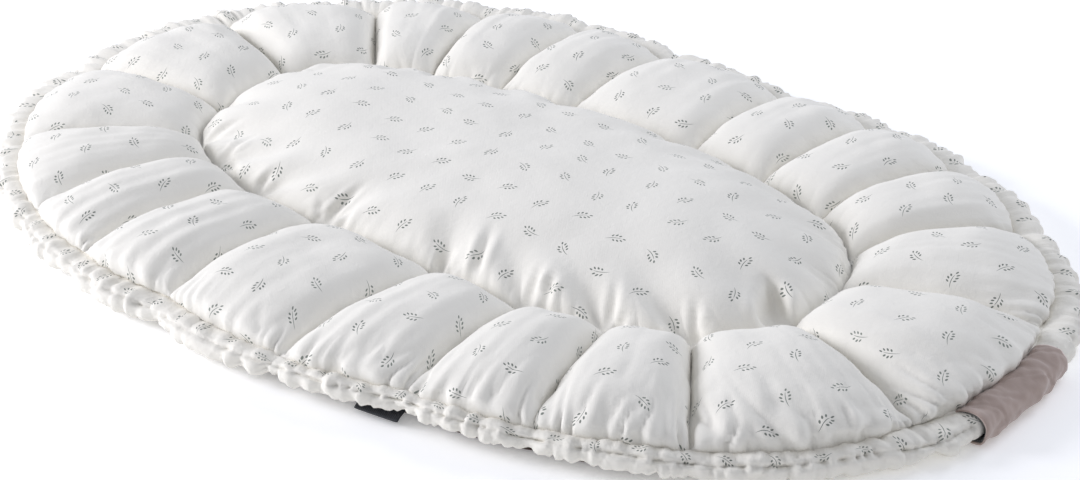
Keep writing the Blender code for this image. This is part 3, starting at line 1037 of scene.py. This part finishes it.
    def middle_grid(self) -> Array:
        """Lays out the middle chamber in its plain crowned form.

        Returns:
            Its grid, from near its own middle out to the inner sewn line.
        """
        first, second, share = self.columns()
        steps = np.linspace(0.0, 1.0, self.middle_rows + 1)
        steps = 0.5 * steps + 0.5 * np.sin(0.5 * np.pi * steps)
        inset = (self.last_inset * (1.0 - steps))[:, None]
        narrowing = inset / PLAN.inner.half_width
        excess = PLAN.inner.half_length / PLAN.inner.half_width - 1.0
        half_length = PLAN.inner.half_length - inset * (1.0 + narrowing ** 2 * excess)
        power = PLAN.inner.power - self.power_drop * narrowing
        turn = np.radians(self.stations(2))[None, :]
        cosine, sine = np.cos(turn), np.sin(turn)
        x = np.sign(cosine) * np.abs(cosine) ** (2.0 / power) * half_length
        y = np.sign(sine) * np.abs(sine) ** (2.0 / power) * (PLAN.inner.half_width - inset)
        pull = first[:, 3] + (second[:, 3] - first[:, 3]) * ease(share)
        pull = 1.0 + (pull[None, :] - 1.0) * (1.0 - narrowing) ** 2
        plan = np.stack((x * pull, y * pull), axis=-1)
        crown = self.centre_crown * (1.0 - (1.0 - narrowing) ** self.crown_power) ** self.crown_round
        height = self.seam_height + crown - self.pucker_depth(plan, inset)
        return np.concatenate((plan, height[..., None]), axis=-1)

    def pucker_depth(self, plan: Array, inset: Array) -> Array:
        """Finds how deep the radial seams' ends draw the middle chamber down.

        Args:
            plan: The points in plan.
            inset: How far in from the inner sewn line they lie.

        Returns:
            The depth at each point.
        """
        depth = np.zeros(plan.shape[:-1])
        for seam in SEAMS:
            end = PLAN.inner.at(np.array(seam.inner_at))
            end = end / np.linalg.norm(end)
            sideways = plan[..., 0] * end[1] - plan[..., 1] * end[0]
            near_side = plan @ end >= 0.0
            half_width = self.pucker_half_width + self.pucker_spread * inset
            spread = np.exp(-((sideways / half_width) ** 2))
            reach = inset / self.pucker_reach
            depth += near_side * seam.pucker * spread * reach * np.exp(1.0 - reach)
        return depth

    def puckers(
        self, away: Array, along: Array, span: float, reach: Array | float, field: NoiseField
    ) -> Array:
        """Returns the small folds that a row of stitches draws, one high and nothing at the stitches.

        Args:
            away: How far each point is from the stitches, in metres of cloth.
            along: Where it is along them.
            span: The usual width of a fold.
            reach: How far the folds run in.
            field: Which row of stitches it is.

        Returns:
            The folds' height.
        """
        place = np.stack((along, away * self.pucker_stretch), axis=-1)
        folds = ridged(soft_noise(place, span, field))
        return folds * (1.0 - np.exp(-away / self.stitch_reach)) * np.exp(-away / reach)

    def wedge_detail(self, grid: Array) -> Array:
        """Adds up the wedges' puckers, gathers and unevenness.

        Args:
            grid: The wedges' plain form.

        Returns:
            How far the skin stands out of it at each point.
        """
        detail = np.zeros(grid.shape[:2])
        run_in = arc_length(grid, 0)
        rim = PLAN.zone(self.gathers, self.stations(0))
        for wedge in range(len(SEAMS)):
            span = slice(wedge * self.per_wedge, (wedge + 1) * self.per_wedge)
            closed = np.arange(wedge * self.per_wedge, (wedge + 1) * self.per_wedge + 1) % grid.shape[1]
            across = arc_length(grid[:, closed], 1)
            width = across[:, -1:]
            across = across[:, :-1]
            from_side = np.minimum(across, width - across)
            from_inner = run_in[:, span]
            from_outer = run_in[-1, span] - from_inner
            window = np.ones_like(across)
            for away in (from_side, from_inner, from_outer):
                window = window * (1.0 - np.exp(-away / self.wedge_window))
            seam_number = wedge + (across > 0.5 * width).astype(float)
            side_place = from_inner + self.seam_shift * seam_number
            centred = across - 0.5 * width + self.wedge_shift * wedge
            depth, reach = rim[0][None, span], rim[1][None, span]
            detail[:, span] += self.side_puckers * self.puckers(
                from_side, side_place, self.pucker_span, self.side_reach, NoiseField.SIDE_PUCKERS
            )
            detail[:, span] += self.inner_puckers * self.puckers(
                from_inner, centred, self.pucker_span, self.inner_reach, NoiseField.INNER_PUCKERS
            )
            detail[:, span] += depth * self.puckers(
                from_outer, centred, self.gather_span, reach, NoiseField.RIM_GATHERS
            )
            swell = soft_noise(grid[:, span], self.wedge_swell_span, NoiseField.WEDGE_SWELL)
            ripple = soft_noise(grid[:, span], self.wedge_ripple_span, NoiseField.WEDGE_RIPPLE)
            detail[:, span] += self.unevenness * (swell + self.wedge_ripple * ripple) * window
        return detail

    def middle_detail(self, grid: Array) -> Array:
        """Adds up the middle chamber's puckers, creases and unevenness.

        Args:
            grid: The chamber's plain form.

        Returns:
            How far the skin stands out of it at each point.
        """
        run = arc_length(grid, 0)
        from_seam = run[-1] - run
        around = np.broadcast_to(arc_length(grid[-1:], 1), run.shape)
        window = 1.0 - np.exp(-from_seam / self.middle_window)
        swell = soft_noise(grid, self.middle_swell_span, NoiseField.MIDDLE_SWELL)
        ripple = soft_noise(grid, self.middle_ripple_span, NoiseField.MIDDLE_RIPPLE)
        detail = self.unevenness * (self.middle_swell * swell + self.middle_ripple * ripple) * window
        detail += self.inner_puckers * self.puckers(
            from_seam, around, self.pucker_span, self.middle_reach, NoiseField.MIDDLE_PUCKERS
        )
        for seam in SEAMS:
            detail -= self.star_depth(grid[..., :2], seam)
        for crease in self.creases:
            detail -= self.crease_depth(grid[..., :2], crease)
        return detail

    def crease_depth(self, plan: Array, crease: Crease) -> Array:
        """Finds one crease's depth.

        Args:
            plan: The points in plan.
            crease: The crease.

        Returns:
            The depth at each point.
        """
        start = np.array((crease.from_x, crease.from_y))
        way = np.array((crease.to_x, crease.to_y)) - start
        length = np.linalg.norm(way)
        way = way / length
        offset = plan - start
        along = (offset @ way) / length
        bow = self.crease_bow * crease.half_width * np.sin(np.pi * np.clip(along, 0.0, 1.0))
        across = (offset[..., 0] * way[1] - offset[..., 1] * way[0] + bow) / crease.half_width
        return crease.depth * crease_profile(across) * fade(along, self.crease_rise, self.crease_fall)

    def star_depth(self, plan: Array, seam: Seam) -> Array:
        """Finds the creases that fan into the middle from a seam's end.

        Args:
            plan: The points in plan.
            seam: The seam.

        Returns:
            The depth at each point.
        """
        end = PLAN.inner.at(np.array(seam.inner_at)) * seam.inner_pull
        inward = -end * np.array((1.0 / PLAN.inner.half_length, 1.0 / PLAN.inner.half_width)) ** 2
        inward = inward / np.linalg.norm(inward)
        depth = np.zeros(plan.shape[:-1])
        strength = seam.pucker / self.usual_pucker
        for number, ray in enumerate(self.stars):
            # The two sums under the sines only make each star unlike its neighbours
            lean = math.radians(ray.lean + self.star_sway * math.sin(seam.outer_at * 0.7 + number * 2.1))
            length = ray.length * (1.0 + self.star_stretch * math.sin(seam.outer_at * 0.31 + number * 1.3))
            way = np.array((inward[0] * math.cos(lean) - inward[1] * math.sin(lean),
                            inward[0] * math.sin(lean) + inward[1] * math.cos(lean)))
            tip = end + way * length
            crease = Crease(*end, *tip, ray.depth, self.star_half_width)
            depth += strength * self.crease_depth(plan, crease)
        return depth

    def wedge_corners(self, grid: Array) -> Array:
        """Lays each wedge's cloth flat by itself.

        Args:
            grid: The wedges' plain form.

        Returns:
            The flat places of the faces' corners.
        """
        parts = []
        run_in = arc_length(grid, 0)
        for wedge in range(len(SEAMS)):
            closed = np.arange(wedge * self.per_wedge, (wedge + 1) * self.per_wedge + 1) % grid.shape[1]
            across = arc_length(grid[:, closed], 1)
            across = across - 0.5 * across[:, -1:]
            middle = wedge * self.per_wedge + self.per_wedge // 2
            start = grid[0, middle, :2]
            way = grid[-1, middle, :2] - start
            way = way / np.linalg.norm(way)
            side = np.array((-way[1], way[0]))
            flat = start * self.print_spread + across[..., None] * side + run_in[:, closed][..., None] * way
            parts.append(corners_of(flat))
        return np.concatenate(parts, axis=1)

    def middle_corners(self, grid: Array) -> Array:
        """Lays the middle chamber's cloth flat.

        Args:
            grid: The chamber's plain form.

        Returns:
            The flat places of the faces' corners.
        """
        level = grid[..., :2]
        stretch = (arc_length(grid, 0) + self.print_start) / (arc_length(level, 0) + self.print_start)
        flat = level * stretch[..., None]
        return corners_of(np.concatenate((flat, flat[:, :1]), axis=1))

    def flank_grid(self) -> Array:
        """Lays out the rounded lower edge.

        Returns:
            Its grid, from the gathered edge in to the flat underside.
        """
        stations = self.stations(0)
        edge = PLAN.rim_sizes(stations).edge
        edge_out, edge_height = PLAN.sewn_edge(stations)
        rows = [np.concatenate((PLAN.rim_point(stations, edge_out), edge_height[:, None]), axis=1)]
        for step in self.flank:
            plan = PLAN.rim_point(stations, -step.inset)
            rows.append(np.concatenate((plan, (self.underside + step.share * edge)[:, None]), axis=1))
        return np.stack(rows)

    def build(self) -> bpy.types.Object:
        """Returns:
            The bed, as one filled piece.
        """
        middle, wedges, flank = self.middle_grid(), self.wedge_grid(), self.flank_grid()
        middle_corners, wedge_corners = self.middle_corners(middle), self.wedge_corners(wedges)
        skin_normals = level_middle(normals_up(middle), self.level_rows)
        middle = middle + skin_normals * self.middle_detail(middle)[..., None]
        wedges = wedges + normals_up(wedges) * self.wedge_detail(wedges)[..., None]
        middle[-1], wedges[0], wedges[-1] = self.sewn_ring(), self.sewn_ring(), flank[0]
        skin = np.concatenate((middle, wedges[1:], flank[1:]))
        flank_flat = np.concatenate((flank, flank[:, :1]), axis=1)[..., :2]
        corners = np.concatenate((middle_corners, wedge_corners, corners_of(flank_flat)))
        cloth = ClothMesh("quilted_bed_cover")
        first = cloth.add(Patch(skin, corners))
        columns = skin.shape[1]
        last = first + (len(skin) - 1) * columns
        cloth.close(list(range(first, first + columns)), skin[0, :, :2])
        cloth.close(list(range(last, last + columns)), skin[-1, :, :2])
        piece = cloth.make([PRINTED_COTTON.make()], PLAN.middle)
        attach(piece, "root")
        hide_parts("quilted_bed")
        return piece

    def sewn_ring(self) -> Array:
        """Returns the inner sewn line at its height."""
        line = self.inner_line()
        return np.concatenate((line, np.full((len(line), 1), self.seam_height)), axis=1)


def normals_up(grid: Array) -> Array:
    """Finds the unit normals of a grid that runs round the bed.

    Args:
        grid: The grid of points.

    Returns:
        A normal for each point, pointing out of the bed's top.
    """
    along = np.gradient(grid, axis=0)
    across = np.roll(grid, -1, axis=1) - np.roll(grid, 1, axis=1)
    normals = np.cross(along, across)
    lengths = np.linalg.norm(normals, axis=-1, keepdims=True)
    normals = normals / np.maximum(lengths, SHORTEST)
    return normals * np.sign(np.median(normals[..., 2]))


def level_middle(normals: Array, rows: int) -> Array:
    """Turns the normals of the first rows to straight up, where the columns run together.

    Args:
        normals: The unit normals.
        rows: How many rows are turned.

    Returns:
        The turned unit normals.
    """
    share = np.clip(1.0 - np.arange(len(normals)) / rows, 0.0, 1.0)[:, None, None]
    turned = normals * (1.0 - share) + np.array((0.0, 0.0, 1.0)) * share
    return turned / np.linalg.norm(turned, axis=-1, keepdims=True)


# The casing round the rim


class Ruffle(NamedTuple):
    """The casing's folds at a station: depths of the broad folds, fine gathers and stitched line."""

    at: float
    broad: float
    fine: float
    stitched: float


@dataclass
class RimCasing:
    """The gathered casing: a strip of the printed cotton sewn round the rim by both long edges."""

    # The mesh and the section, with the slit in degrees on each side of the sewn edge
    stations: int = 960
    sides: int = 48
    slit: float = 13.0
    squareness: float = 0.85
    # The folds, the pinches at the radial seams and the stitched line
    broad_span: float = 0.019
    fine_span: float = 0.0085
    pinch_depth: float = 0.0035
    pinch_span: float = 1.7
    loose_gap: float = 0.0022
    stitched_at: float = 38.0
    stitched_spread: float = 13.0
    stitch_span: float = 0.0045
    stitch_break: float = 0.6
    groove_gathers: float = 1.4
    broad_rise: float = 0.5
    # How the folds run round the section, and how they end at the sewn edge
    round_scale: float = 0.0035
    upper_hold: float = 0.65
    lower_fade: float = 0.7
    # The strip as it was cut
    flat_width: float = 0.096
    flat_length: float = 4.00
    ruffles: tuple[Ruffle, ...] = (
        Ruffle(0.0, 0.0006, 0.0004, 0.0),
        Ruffle(8.0, 0.0006, 0.0004, 0.0),
        Ruffle(10.0, 0.0024, 0.0016, 0.0004),
        Ruffle(14.0, 0.0026, 0.0016, 0.0006),
        Ruffle(60.0, 0.0032, 0.0018, 0.0006),
        Ruffle(120.0, 0.0038, 0.0020, 0.0006),
        Ruffle(150.0, 0.0044, 0.0020, 0.0006),
        Ruffle(200.0, 0.0044, 0.0020, 0.0008),
        Ruffle(240.0, 0.0034, 0.0020, 0.0010),
        Ruffle(285.0, 0.0034, 0.0022, 0.0018),
        Ruffle(303.0, 0.0028, 0.0022, 0.0034),
        Ruffle(350.5, 0.0024, 0.0022, 0.0044),
        Ruffle(353.5, 0.0006, 0.0004, 0.0),
    )

    def build(self) -> bpy.types.Object:
        """Returns:
            The casing, as one gathered sheet.
        """
        degrees = np.arange(self.stations) * 360.0 / self.stations
        size = PLAN.rim_sizes(degrees)
        broad, fine, stitched = PLAN.zone(self.ruffles, degrees)
        theta = np.radians(np.linspace(self.slit - 180.0, 180.0 - self.slit, self.sides + 1))[:, None]
        cosine, sine = np.cos(theta), np.sin(theta)
        centre_line = PLAN.rim_point(degrees, size.inner_gap + size.half_width)
        steps = np.linalg.norm(np.roll(centre_line, -1, axis=0) - centre_line, axis=1)
        round_length = np.cumsum(steps) - steps
        turn = 2.0 * np.pi * round_length / steps.sum()
        radius = steps.sum() / (2.0 * np.pi)
        circle = np.stack((np.cos(turn) * radius, np.sin(turn) * radius), axis=-1)
        place = np.broadcast_to(circle, (*theta.shape[:1], *circle.shape))
        level = np.broadcast_to((theta * self.round_scale)[..., None], (*place.shape[:2], 1))
        place = np.concatenate((place, level), axis=-1)
        ruffles = ridged(soft_noise(place, self.broad_span, NoiseField.BROAD_RUFFLES))
        lift = broad * (ruffles + self.broad_rise)
        groove = np.exp(-((np.degrees(theta) - self.stitched_at) / self.stitched_spread) ** 2)
        gathers = ridged(soft_noise(place, self.fine_span, NoiseField.FINE_GATHERS))
        lift = lift + fine * (1.0 + self.groove_gathers * groove) * gathers
        stitches = 1.0 + self.stitch_break * soft_noise(place, self.stitch_span, NoiseField.STITCHES)
        lift = lift - stitched * groove * stitches
        loose = size.inner_gap < self.loose_gap
        pinch = self.pinch_depth * np.exp(-((PLAN.seam_distance(degrees) / self.pinch_span) ** 2)) * loose
        upper_hold = self.upper_hold + (1.0 - self.upper_hold) * cosine
        lower_hold = (0.5 + 0.5 * cosine) ** self.lower_fade
        lift = (lift - pinch) * np.where(sine > 0.0, upper_hold, lower_hold)
        out = np.sign(cosine) * np.abs(cosine) ** self.squareness * size.half_width + lift * cosine
        up = np.sign(sine) * np.abs(sine) ** self.squareness * size.half_height + lift * sine
        edge_out, edge_height = PLAN.sewn_edge(degrees)
        toward = np.clip((np.degrees(theta) - 90.0) / (90.0 - self.slit), 0.0, 1.0)
        held = 1.0 - np.sqrt(1.0 - toward)
        out = (size.inner_gap + size.half_width + out) * (1.0 - held) + edge_out * held
        height = (size.middle + up) * (1.0 - held) + edge_height * held
        height = np.maximum(height, RESTING_HEIGHT)
        plan = PLAN.rim_line(degrees) + PLAN.outward(degrees) * out[..., None]
        grid = np.concatenate((plan, height[..., None]), axis=-1)
        across = np.linspace(0.0, self.flat_width, self.sides + 1)[:, None]
        along = np.append(round_length, steps.sum()) / steps.sum() * self.flat_length
        flat = np.stack(np.broadcast_arrays(along, across), axis=-1)
        cloth = ClothMesh("rim_casing_cloth")
        cloth.add(Patch(grid, corners_of(flat)))
        piece = cloth.make([CASING_COTTON.make()], PLAN.middle)
        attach(piece, "root")
        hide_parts("rim_casing")
        return piece


# The cuff and the black lining of its lower mouth


class CuffCrease(NamedTuple):
    """A slanting crease across the cuff: its station, how it slants round, its depth and width."""

    at: float
    slant: float
    depth: float
    half_width: float


@dataclass
class CordCuff:
    """The plain cuff round the casing at the head end, wider at its lower mouth."""

    # The tube's section in metres, and its two mouths in degrees round the rim
    thickness: float = 0.0015
    half_width: float = 0.0172
    half_height: float = 0.0144
    first: float = -7.6
    last: float = 8.6
    flare: float = 0.0030
    flare_span: float = 3.0
    squareness: float = 0.85
    # The rumpled surface, measured in metres along the cuff and round it
    rumple: float = 0.0019
    rumple_span: float = 0.024
    small_rumple: float = 0.0008
    small_span: float = 0.009
    nap_span: float = 0.0015
    metres_a_degree: float = 0.0097
    girth_radius: float = 0.017
    lower_share: float = 0.35
    upper_shift: float = 0.3
    # The mesh, and the cloth as it was cut
    rows: int = 120
    sides: int = 56
    hem_rows: int = 2
    flat_width: float = 0.108
    flat_length: float = 0.158
    creases: tuple[CuffCrease, ...] = (
        CuffCrease(-5.3, 1.2, 0.0006, 0.22),
        CuffCrease(-3.1, 2.4, 0.0010, 0.42),
        CuffCrease(1.2, 2.7, 0.0009, 0.28),
        CuffCrease(3.1, 0.8, 0.0012, 0.50),
        CuffCrease(7.1, 1.5, 0.0008, 0.36),
    )

    def wall(self, degrees: Array, inset: float, roughness: float = 0.0, sides: int = 0) -> Array:
        """Returns the wall's points at each station, some way in from the outer surface.

        Args:
            degrees: The stations.
            inset: How far in from the outer surface, in metres.
            roughness: How far the surface is broken up by nap.
            sides: The points round the wall, or none for the cuff's own number.

        Returns:
            A grid with a row for each station.
        """
        count = sides or self.sides
        size = PLAN.rim_sizes(degrees)
        mouth = np.clip(1.0 - (degrees - self.first) / self.flare_span, 0.0, 1.0)
        flare = self.flare * ease(mouth)
        theta = (2.0 * np.pi * (np.arange(count) + 0.5) / count)[None, :]
        cosine, sine = np.cos(theta), np.sin(theta)
        lift = -self.crease_depth(degrees[:, None], theta) - inset
        run, girth = degrees[:, None] * self.metres_a_degree, theta * self.girth_radius
        place = np.stack(np.broadcast_arrays(run, girth), axis=-1)
        lift = lift + self.rumple * soft_noise(place, self.rumple_span, NoiseField.CUFF_RUMPLE)
        lift = lift + self.small_rumple * soft_noise(place, self.small_span, NoiseField.SMALL_RUMPLE)
        if roughness:
            lift = lift + roughness * soft_noise(place, self.nap_span, NoiseField.NAP)
        half_width = self.half_width + 0.5 * flare[:, None]
        out = np.sign(cosine) * np.abs(cosine) ** self.squareness * (half_width + lift)
        up = np.sign(sine) * np.abs(sine) ** self.squareness * (self.half_height + lift)
        middle = (size.inner_gap + size.half_width + 0.5 * flare)[:, None]
        plan = PLAN.rim_line(degrees)[:, None] + PLAN.outward(degrees)[:, None] * (middle + out)[..., None]
        height = np.maximum(size.middle[:, None] + up, RESTING_HEIGHT + inset)
        return np.concatenate((plan, height[..., None]), axis=-1)

    def crease_depth(self, degrees: Array, theta: Array) -> Array:
        """Finds how deep the creases lie, strongest on the upper side.

        Args:
            degrees: The stations.
            theta: The turns round the cuff, in radians.

        Returns:
            The depth at each point.
        """
        depth = np.zeros(np.broadcast_shapes(degrees.shape, theta.shape))
        above = np.clip(np.sin(theta) + self.upper_shift, 0.0, 1.0)
        upper = self.lower_share + (1.0 - self.lower_share) * above
        for crease in self.creases:
            station = crease.at + crease.slant * np.cos(theta)
            depth += crease.depth * crease_profile((degrees - station) / crease.half_width) * upper
        return depth

    def tube(
        self, name: str, outside: Array, inside: Array, finishes: list[bpy.types.Material], pale_rows: int = 0
    ) -> bpy.types.Object:
        """Makes an open tube with a thin wall.

        Args:
            name: The piece's name.
            outside: The outer wall's grid, with a row for each station.
            inside: The inner wall's grid.
            finishes: The piece's materials.
            pale_rows: The rows at the last mouth that take the second material.

        Returns:
            The new object.
        """
        grid = np.concatenate((outside, inside[::-1]))
        looped = np.concatenate((grid, grid[:1]))
        looped = np.concatenate((looped, looped[:, :1]), axis=1)
        along = np.tile(arc_length(looped, 0)[:, :1], (1, looped.shape[1]))
        flat = np.stack((arc_length(looped, 1), along), axis=-1)
        cloth = ClothMesh(name)
        cloth.add(Patch(grid, corners_of(flat)))
        cloth.join_rows(grid.shape, corners_of(flat)[-1:])
        if pale_rows:
            middle = len(outside)
            cloth.paint_rows(grid.shape[1], middle - pale_rows, middle + pale_rows, 1)
        return cloth.make(finishes, PLAN.middle)

    def build(self) -> bpy.types.Object:
        """Returns:
            The cuff, as one sheet sewn to a tube.
        """
        degrees = np.linspace(self.first, self.last, self.rows + 1)
        outside = self.wall(degrees, 0.0)
        inside = self.wall(degrees, self.thickness)
        finishes = [CUFF_COTTON.make(), HEM_TAPE.make()]
        piece = self.tube("cord_cuff_cloth", outside, inside, finishes, self.hem_rows)
        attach(piece, "root")
        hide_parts("cord_cuff")
        return piece


@dataclass
class CuffMouthLining:
    """The black napped sheet that lines the cuff's lower mouth, so that the mouth shows black."""

    thickness: float = 0.0012
    gap: float = 0.0004
    setback: float = 0.15
    span: float = 2.6
    nap: float = 0.0003
    rows: int = 30
    sides: int = 96
    flat_width: float = 0.103
    flat_length: float = 0.026

    def build(self, cuff: CordCuff) -> bpy.types.Object:
        """Args:
            cuff: The cuff whose lower mouth the black sheet lines.

        Returns:
            The black lining, as one sheet.
        """
        degrees = np.linspace(cuff.first + self.setback, cuff.first + self.span, self.rows + 1)
        inset = cuff.thickness + self.gap
        outside = cuff.wall(degrees, inset, sides=self.sides)
        inside = cuff.wall(degrees, inset + self.thickness, self.nap, self.sides)
        # A black sheet inside the lower mouth, so the mouth shows black
        piece = cuff.tube("cuff_mouth_black_lining", outside, inside, [BLACK_MOUTH_LINING.make()])
        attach(piece, "root")
        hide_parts("cuff_tape")
        return piece


# The backing sheet and the strap


@dataclass
class UndersidePanel:
    """The dark backing sheet: flat on the floor, its rim lifted a little under the casing."""

    thickness: float = 0.0018
    stations: int = 480
    rim: tuple[Step, ...] = (Step(0.0, 0.14), Step(0.0100, 0.10), Step(0.0240, 0.04), Step(0.0420, 0.0))
    flat_width: float = 0.75
    flat_length: float = 1.11
    flat_area: float = 0.68

    def build(self) -> bpy.types.Object:
        """Returns:
            The sheet, with its thickness.
        """
        degrees = np.arange(self.stations) * 360.0 / self.stations
        size = PLAN.rim_sizes(degrees)

        def ring(step: Step, height: float) -> Array:
            """Returns one ring of points."""
            plan = PLAN.rim_point(degrees, size.backing_out - step.inset)
            return np.concatenate((plan, (height + step.share * size.edge)[:, None]), axis=1)

        upper = [ring(step, self.thickness) for step in reversed(self.rim)]
        lower = [ring(step, 0.0) for step in self.rim]
        grid = np.stack(upper + lower)
        flat = np.concatenate((grid, grid[:, :1]), axis=1)[..., :2]
        cloth = ClothMesh("underside_panel_cloth")
        cloth.add(Patch(grid, corners_of(flat)))
        last = (len(grid) - 1) * self.stations
        cloth.close(list(range(self.stations)), grid[0, :, :2])
        cloth.close(list(range(last, last + self.stations)), grid[-1, :, :2])
        piece = cloth.make([BACKING_COTTON.make()], PLAN.middle)
        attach(piece, "root")
        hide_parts("underside_panel")
        return piece


class Lap(NamedTuple):
    """A section of the strap: how far out it lies, and the height of its lower side."""

    out: float
    low: float


@dataclass
class StrapEnd:
    """The end of a webbing strap, over the backing sheet's edge and under the casing."""

    station: float = 286.0
    half_width: float = 0.023
    thickness: float = 0.0016
    # The woven edge thins to this share of the thickness
    edge_power: float = 12.0
    edge_share: float = 0.25
    laps: tuple[Lap, ...] = (Lap(-0.006, 0.0088), Lap(0.002, 0.0086), Lap(0.008, 0.0070), Lap(0.013, 0.0042))
    rows: int = 16
    columns: int = 24

    def build(self) -> bpy.types.Object:
        """Returns:
            The strap's end, as one sheet with its thickness.
        """
        laps = np.array(self.laps)
        out = np.linspace(laps[0, 0], laps[-1, 0], self.rows + 1)
        low = np.interp(out, laps[:, 0], laps[:, 1])
        across = np.linspace(-1.0, 1.0, self.columns + 1)
        rounded = np.sqrt(np.clip(1.0 - np.abs(across) ** self.edge_power, 0.0, 1.0))
        edge = self.edge_share + (1.0 - self.edge_share) * rounded
        section_across = np.concatenate((across, across[::-1]))
        section_up = np.concatenate((0.5 - 0.5 * edge, (0.5 + 0.5 * edge)[::-1]))
        start = PLAN.rim_line(np.array(self.station))
        way = PLAN.outward(np.array(self.station))
        side = np.array((-way[1], way[0]))
        plan = start + out[:, None, None] * way + section_across[None, :, None] * self.half_width * side
        height = low[:, None] + section_up[None, :] * self.thickness
        grid = np.concatenate((plan, height[..., None]), axis=-1)
        flat_out = np.broadcast_to(out[:, None], height.shape)
        flat_across = np.broadcast_to(section_across[None, :] * self.half_width, height.shape)
        flat = np.stack((flat_across, flat_out), axis=-1)
        flat = np.concatenate((flat, flat[:, :1]), axis=1)
        cloth = ClothMesh("strap_end_webbing")
        cloth.add(Patch(grid, corners_of(flat)))
        count = grid.shape[1]
        last = self.rows * count
        cloth.close(list(range(count)), flat[0, :-1])
        cloth.close(list(range(last, last + count)), flat[-1, :-1])
        piece = cloth.make([STRAP_WEBBING.make()], PLAN.middle)
        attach(piece, "root")
        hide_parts("strap_end")
        return piece


# The studio


@dataclass(frozen=True)
class Lamp:
    """A square soft lamp that looks at the nest."""

    name: str
    place: tuple[float, float, float]
    side: float
    watts: float
    colour: str


@dataclass
class Studio:
    """A plain pale floor, soft lamps and the camera."""

    # The floor, the sky and the lamps
    floor_colour: str = "#FBFBFB"
    floor_glow: float = 0.22
    floor_roughness: float = 0.9
    floor_gloss: float = 0.1
    floor_drop: float = 0.0002
    floor_half: float = 6.0
    sky_colour: str = "#F3F6FF"
    sky_strength: float = 0.53
    lamps: tuple[Lamp, ...] = (
        Lamp("left_softbox", (-3.2, -2.3, 1.5), 1.7, 150.0, "#F8F8FF"),
        Lamp("back_softbox", (0.7, 2.3, 1.8), 1.3, 29.0, "#EEF3FF"),
    )
    # The camera, fitted to the seams: degrees, metres, and pixels of a frame 1080 wide
    azimuth: float = 41.375
    elevation: float = 27.094
    distance: float = 2.19213
    aim: tuple[float, float, float] = (0.067517, -0.022097, 0.0)
    focal_pixels: float = 2202.78
    frame_pixels: float = 1080.0
    sensor: float = 36.0
    nearest: float = 0.05
    farthest: float = 50.0

    def build_floor(self) -> None:
        """Lays a matt painted floor."""
        mesh = bpy.data.meshes.new("studio_floor")
        signs = ((-1, -1), (1, -1), (1, 1), (-1, 1))
        corners = [(x * self.floor_half, y * self.floor_half, -self.floor_drop) for x, y in signs]
        mesh.from_pydata(corners, [], [(0, 1, 2, 3)])
        # Matt painted board, rolled: pale and without shine
        material = bpy.data.materials.new("matt_painted_board")
        material.use_nodes = True
        shader = material.node_tree.nodes["Principled BSDF"]
        shader.inputs["Base Color"].default_value = linear(self.floor_colour)
        shader.inputs["Roughness"].default_value = self.floor_roughness
        shader.inputs["Specular IOR Level"].default_value = self.floor_gloss
        shader.inputs["Emission Color"].default_value = linear(self.floor_colour)
        shader.inputs["Emission Strength"].default_value = self.floor_glow
        mesh.materials.append(material)
        floor = bpy.data.objects.new("studio_floor", mesh)
        bpy.context.scene.collection.objects.link(floor)

    def build_lights(self) -> None:
        """Hangs the lamps and sets the even sky."""
        world = bpy.data.worlds.new("studio_sky")
        world.use_nodes = True
        background = world.node_tree.nodes["Background"]
        background.inputs["Color"].default_value = linear(self.sky_colour)
        background.inputs["Strength"].default_value = self.sky_strength
        bpy.context.scene.world = world
        for lamp in self.lamps:
            light = bpy.data.lights.new(lamp.name, "AREA")
            light.shape = "SQUARE"
            light.size = lamp.side
            light.energy = lamp.watts
            light.color = linear(lamp.colour)[:3]
            holder = bpy.data.objects.new(lamp.name, light)
            holder.location = lamp.place
            holder.rotation_mode = "QUATERNION"
            holder.rotation_quaternion = (-Vector(lamp.place)).to_track_quat("-Z", "Y")
            bpy.context.scene.collection.objects.link(holder)

    def build_camera(self) -> None:
        """Places the camera at the photo's angle."""
        turn, rise = math.radians(self.azimuth), math.radians(self.elevation)
        back = Vector((math.sin(turn) * math.cos(rise), -math.cos(turn) * math.cos(rise), math.sin(rise)))
        right = Vector((math.cos(turn), math.sin(turn), 0.0))
        up = back.cross(right)
        lens = bpy.data.cameras.new("studio_camera")
        lens.sensor_width = self.sensor
        lens.lens = self.focal_pixels * self.sensor / self.frame_pixels
        lens.clip_start = self.nearest
        lens.clip_end = self.farthest
        camera = bpy.data.objects.new("studio_camera", lens)
        turned = Matrix((right, up, back)).transposed().to_4x4()
        camera.matrix_world = Matrix.Translation(back * self.distance + Vector(self.aim)) @ turned
        bpy.context.scene.collection.objects.link(camera)
        bpy.context.scene.camera = camera

    def build(self) -> None:
        """Builds the studio."""
        bpy.context.scene.view_settings.view_transform = "Standard"
        self.build_camera()
        self.build_floor()
        self.build_lights()


def main() -> None:
    """Builds the studio and the nest's pieces in order, and reports each one."""
    logging.basicConfig(level=logging.INFO, format="%(message)s")
    Studio().build()
    cuff = CordCuff()
    built = (
        QuiltedBed().build(),
        RimCasing().build(),
        cuff.build(),
        CuffMouthLining().build(cuff),
        UndersidePanel().build(),
        StrapEnd().build(),
    )
    for piece in built:
        log.info("%s: %d faces", piece.name, len(piece.data.polygons))


if __name__ == "__main__":
    main()
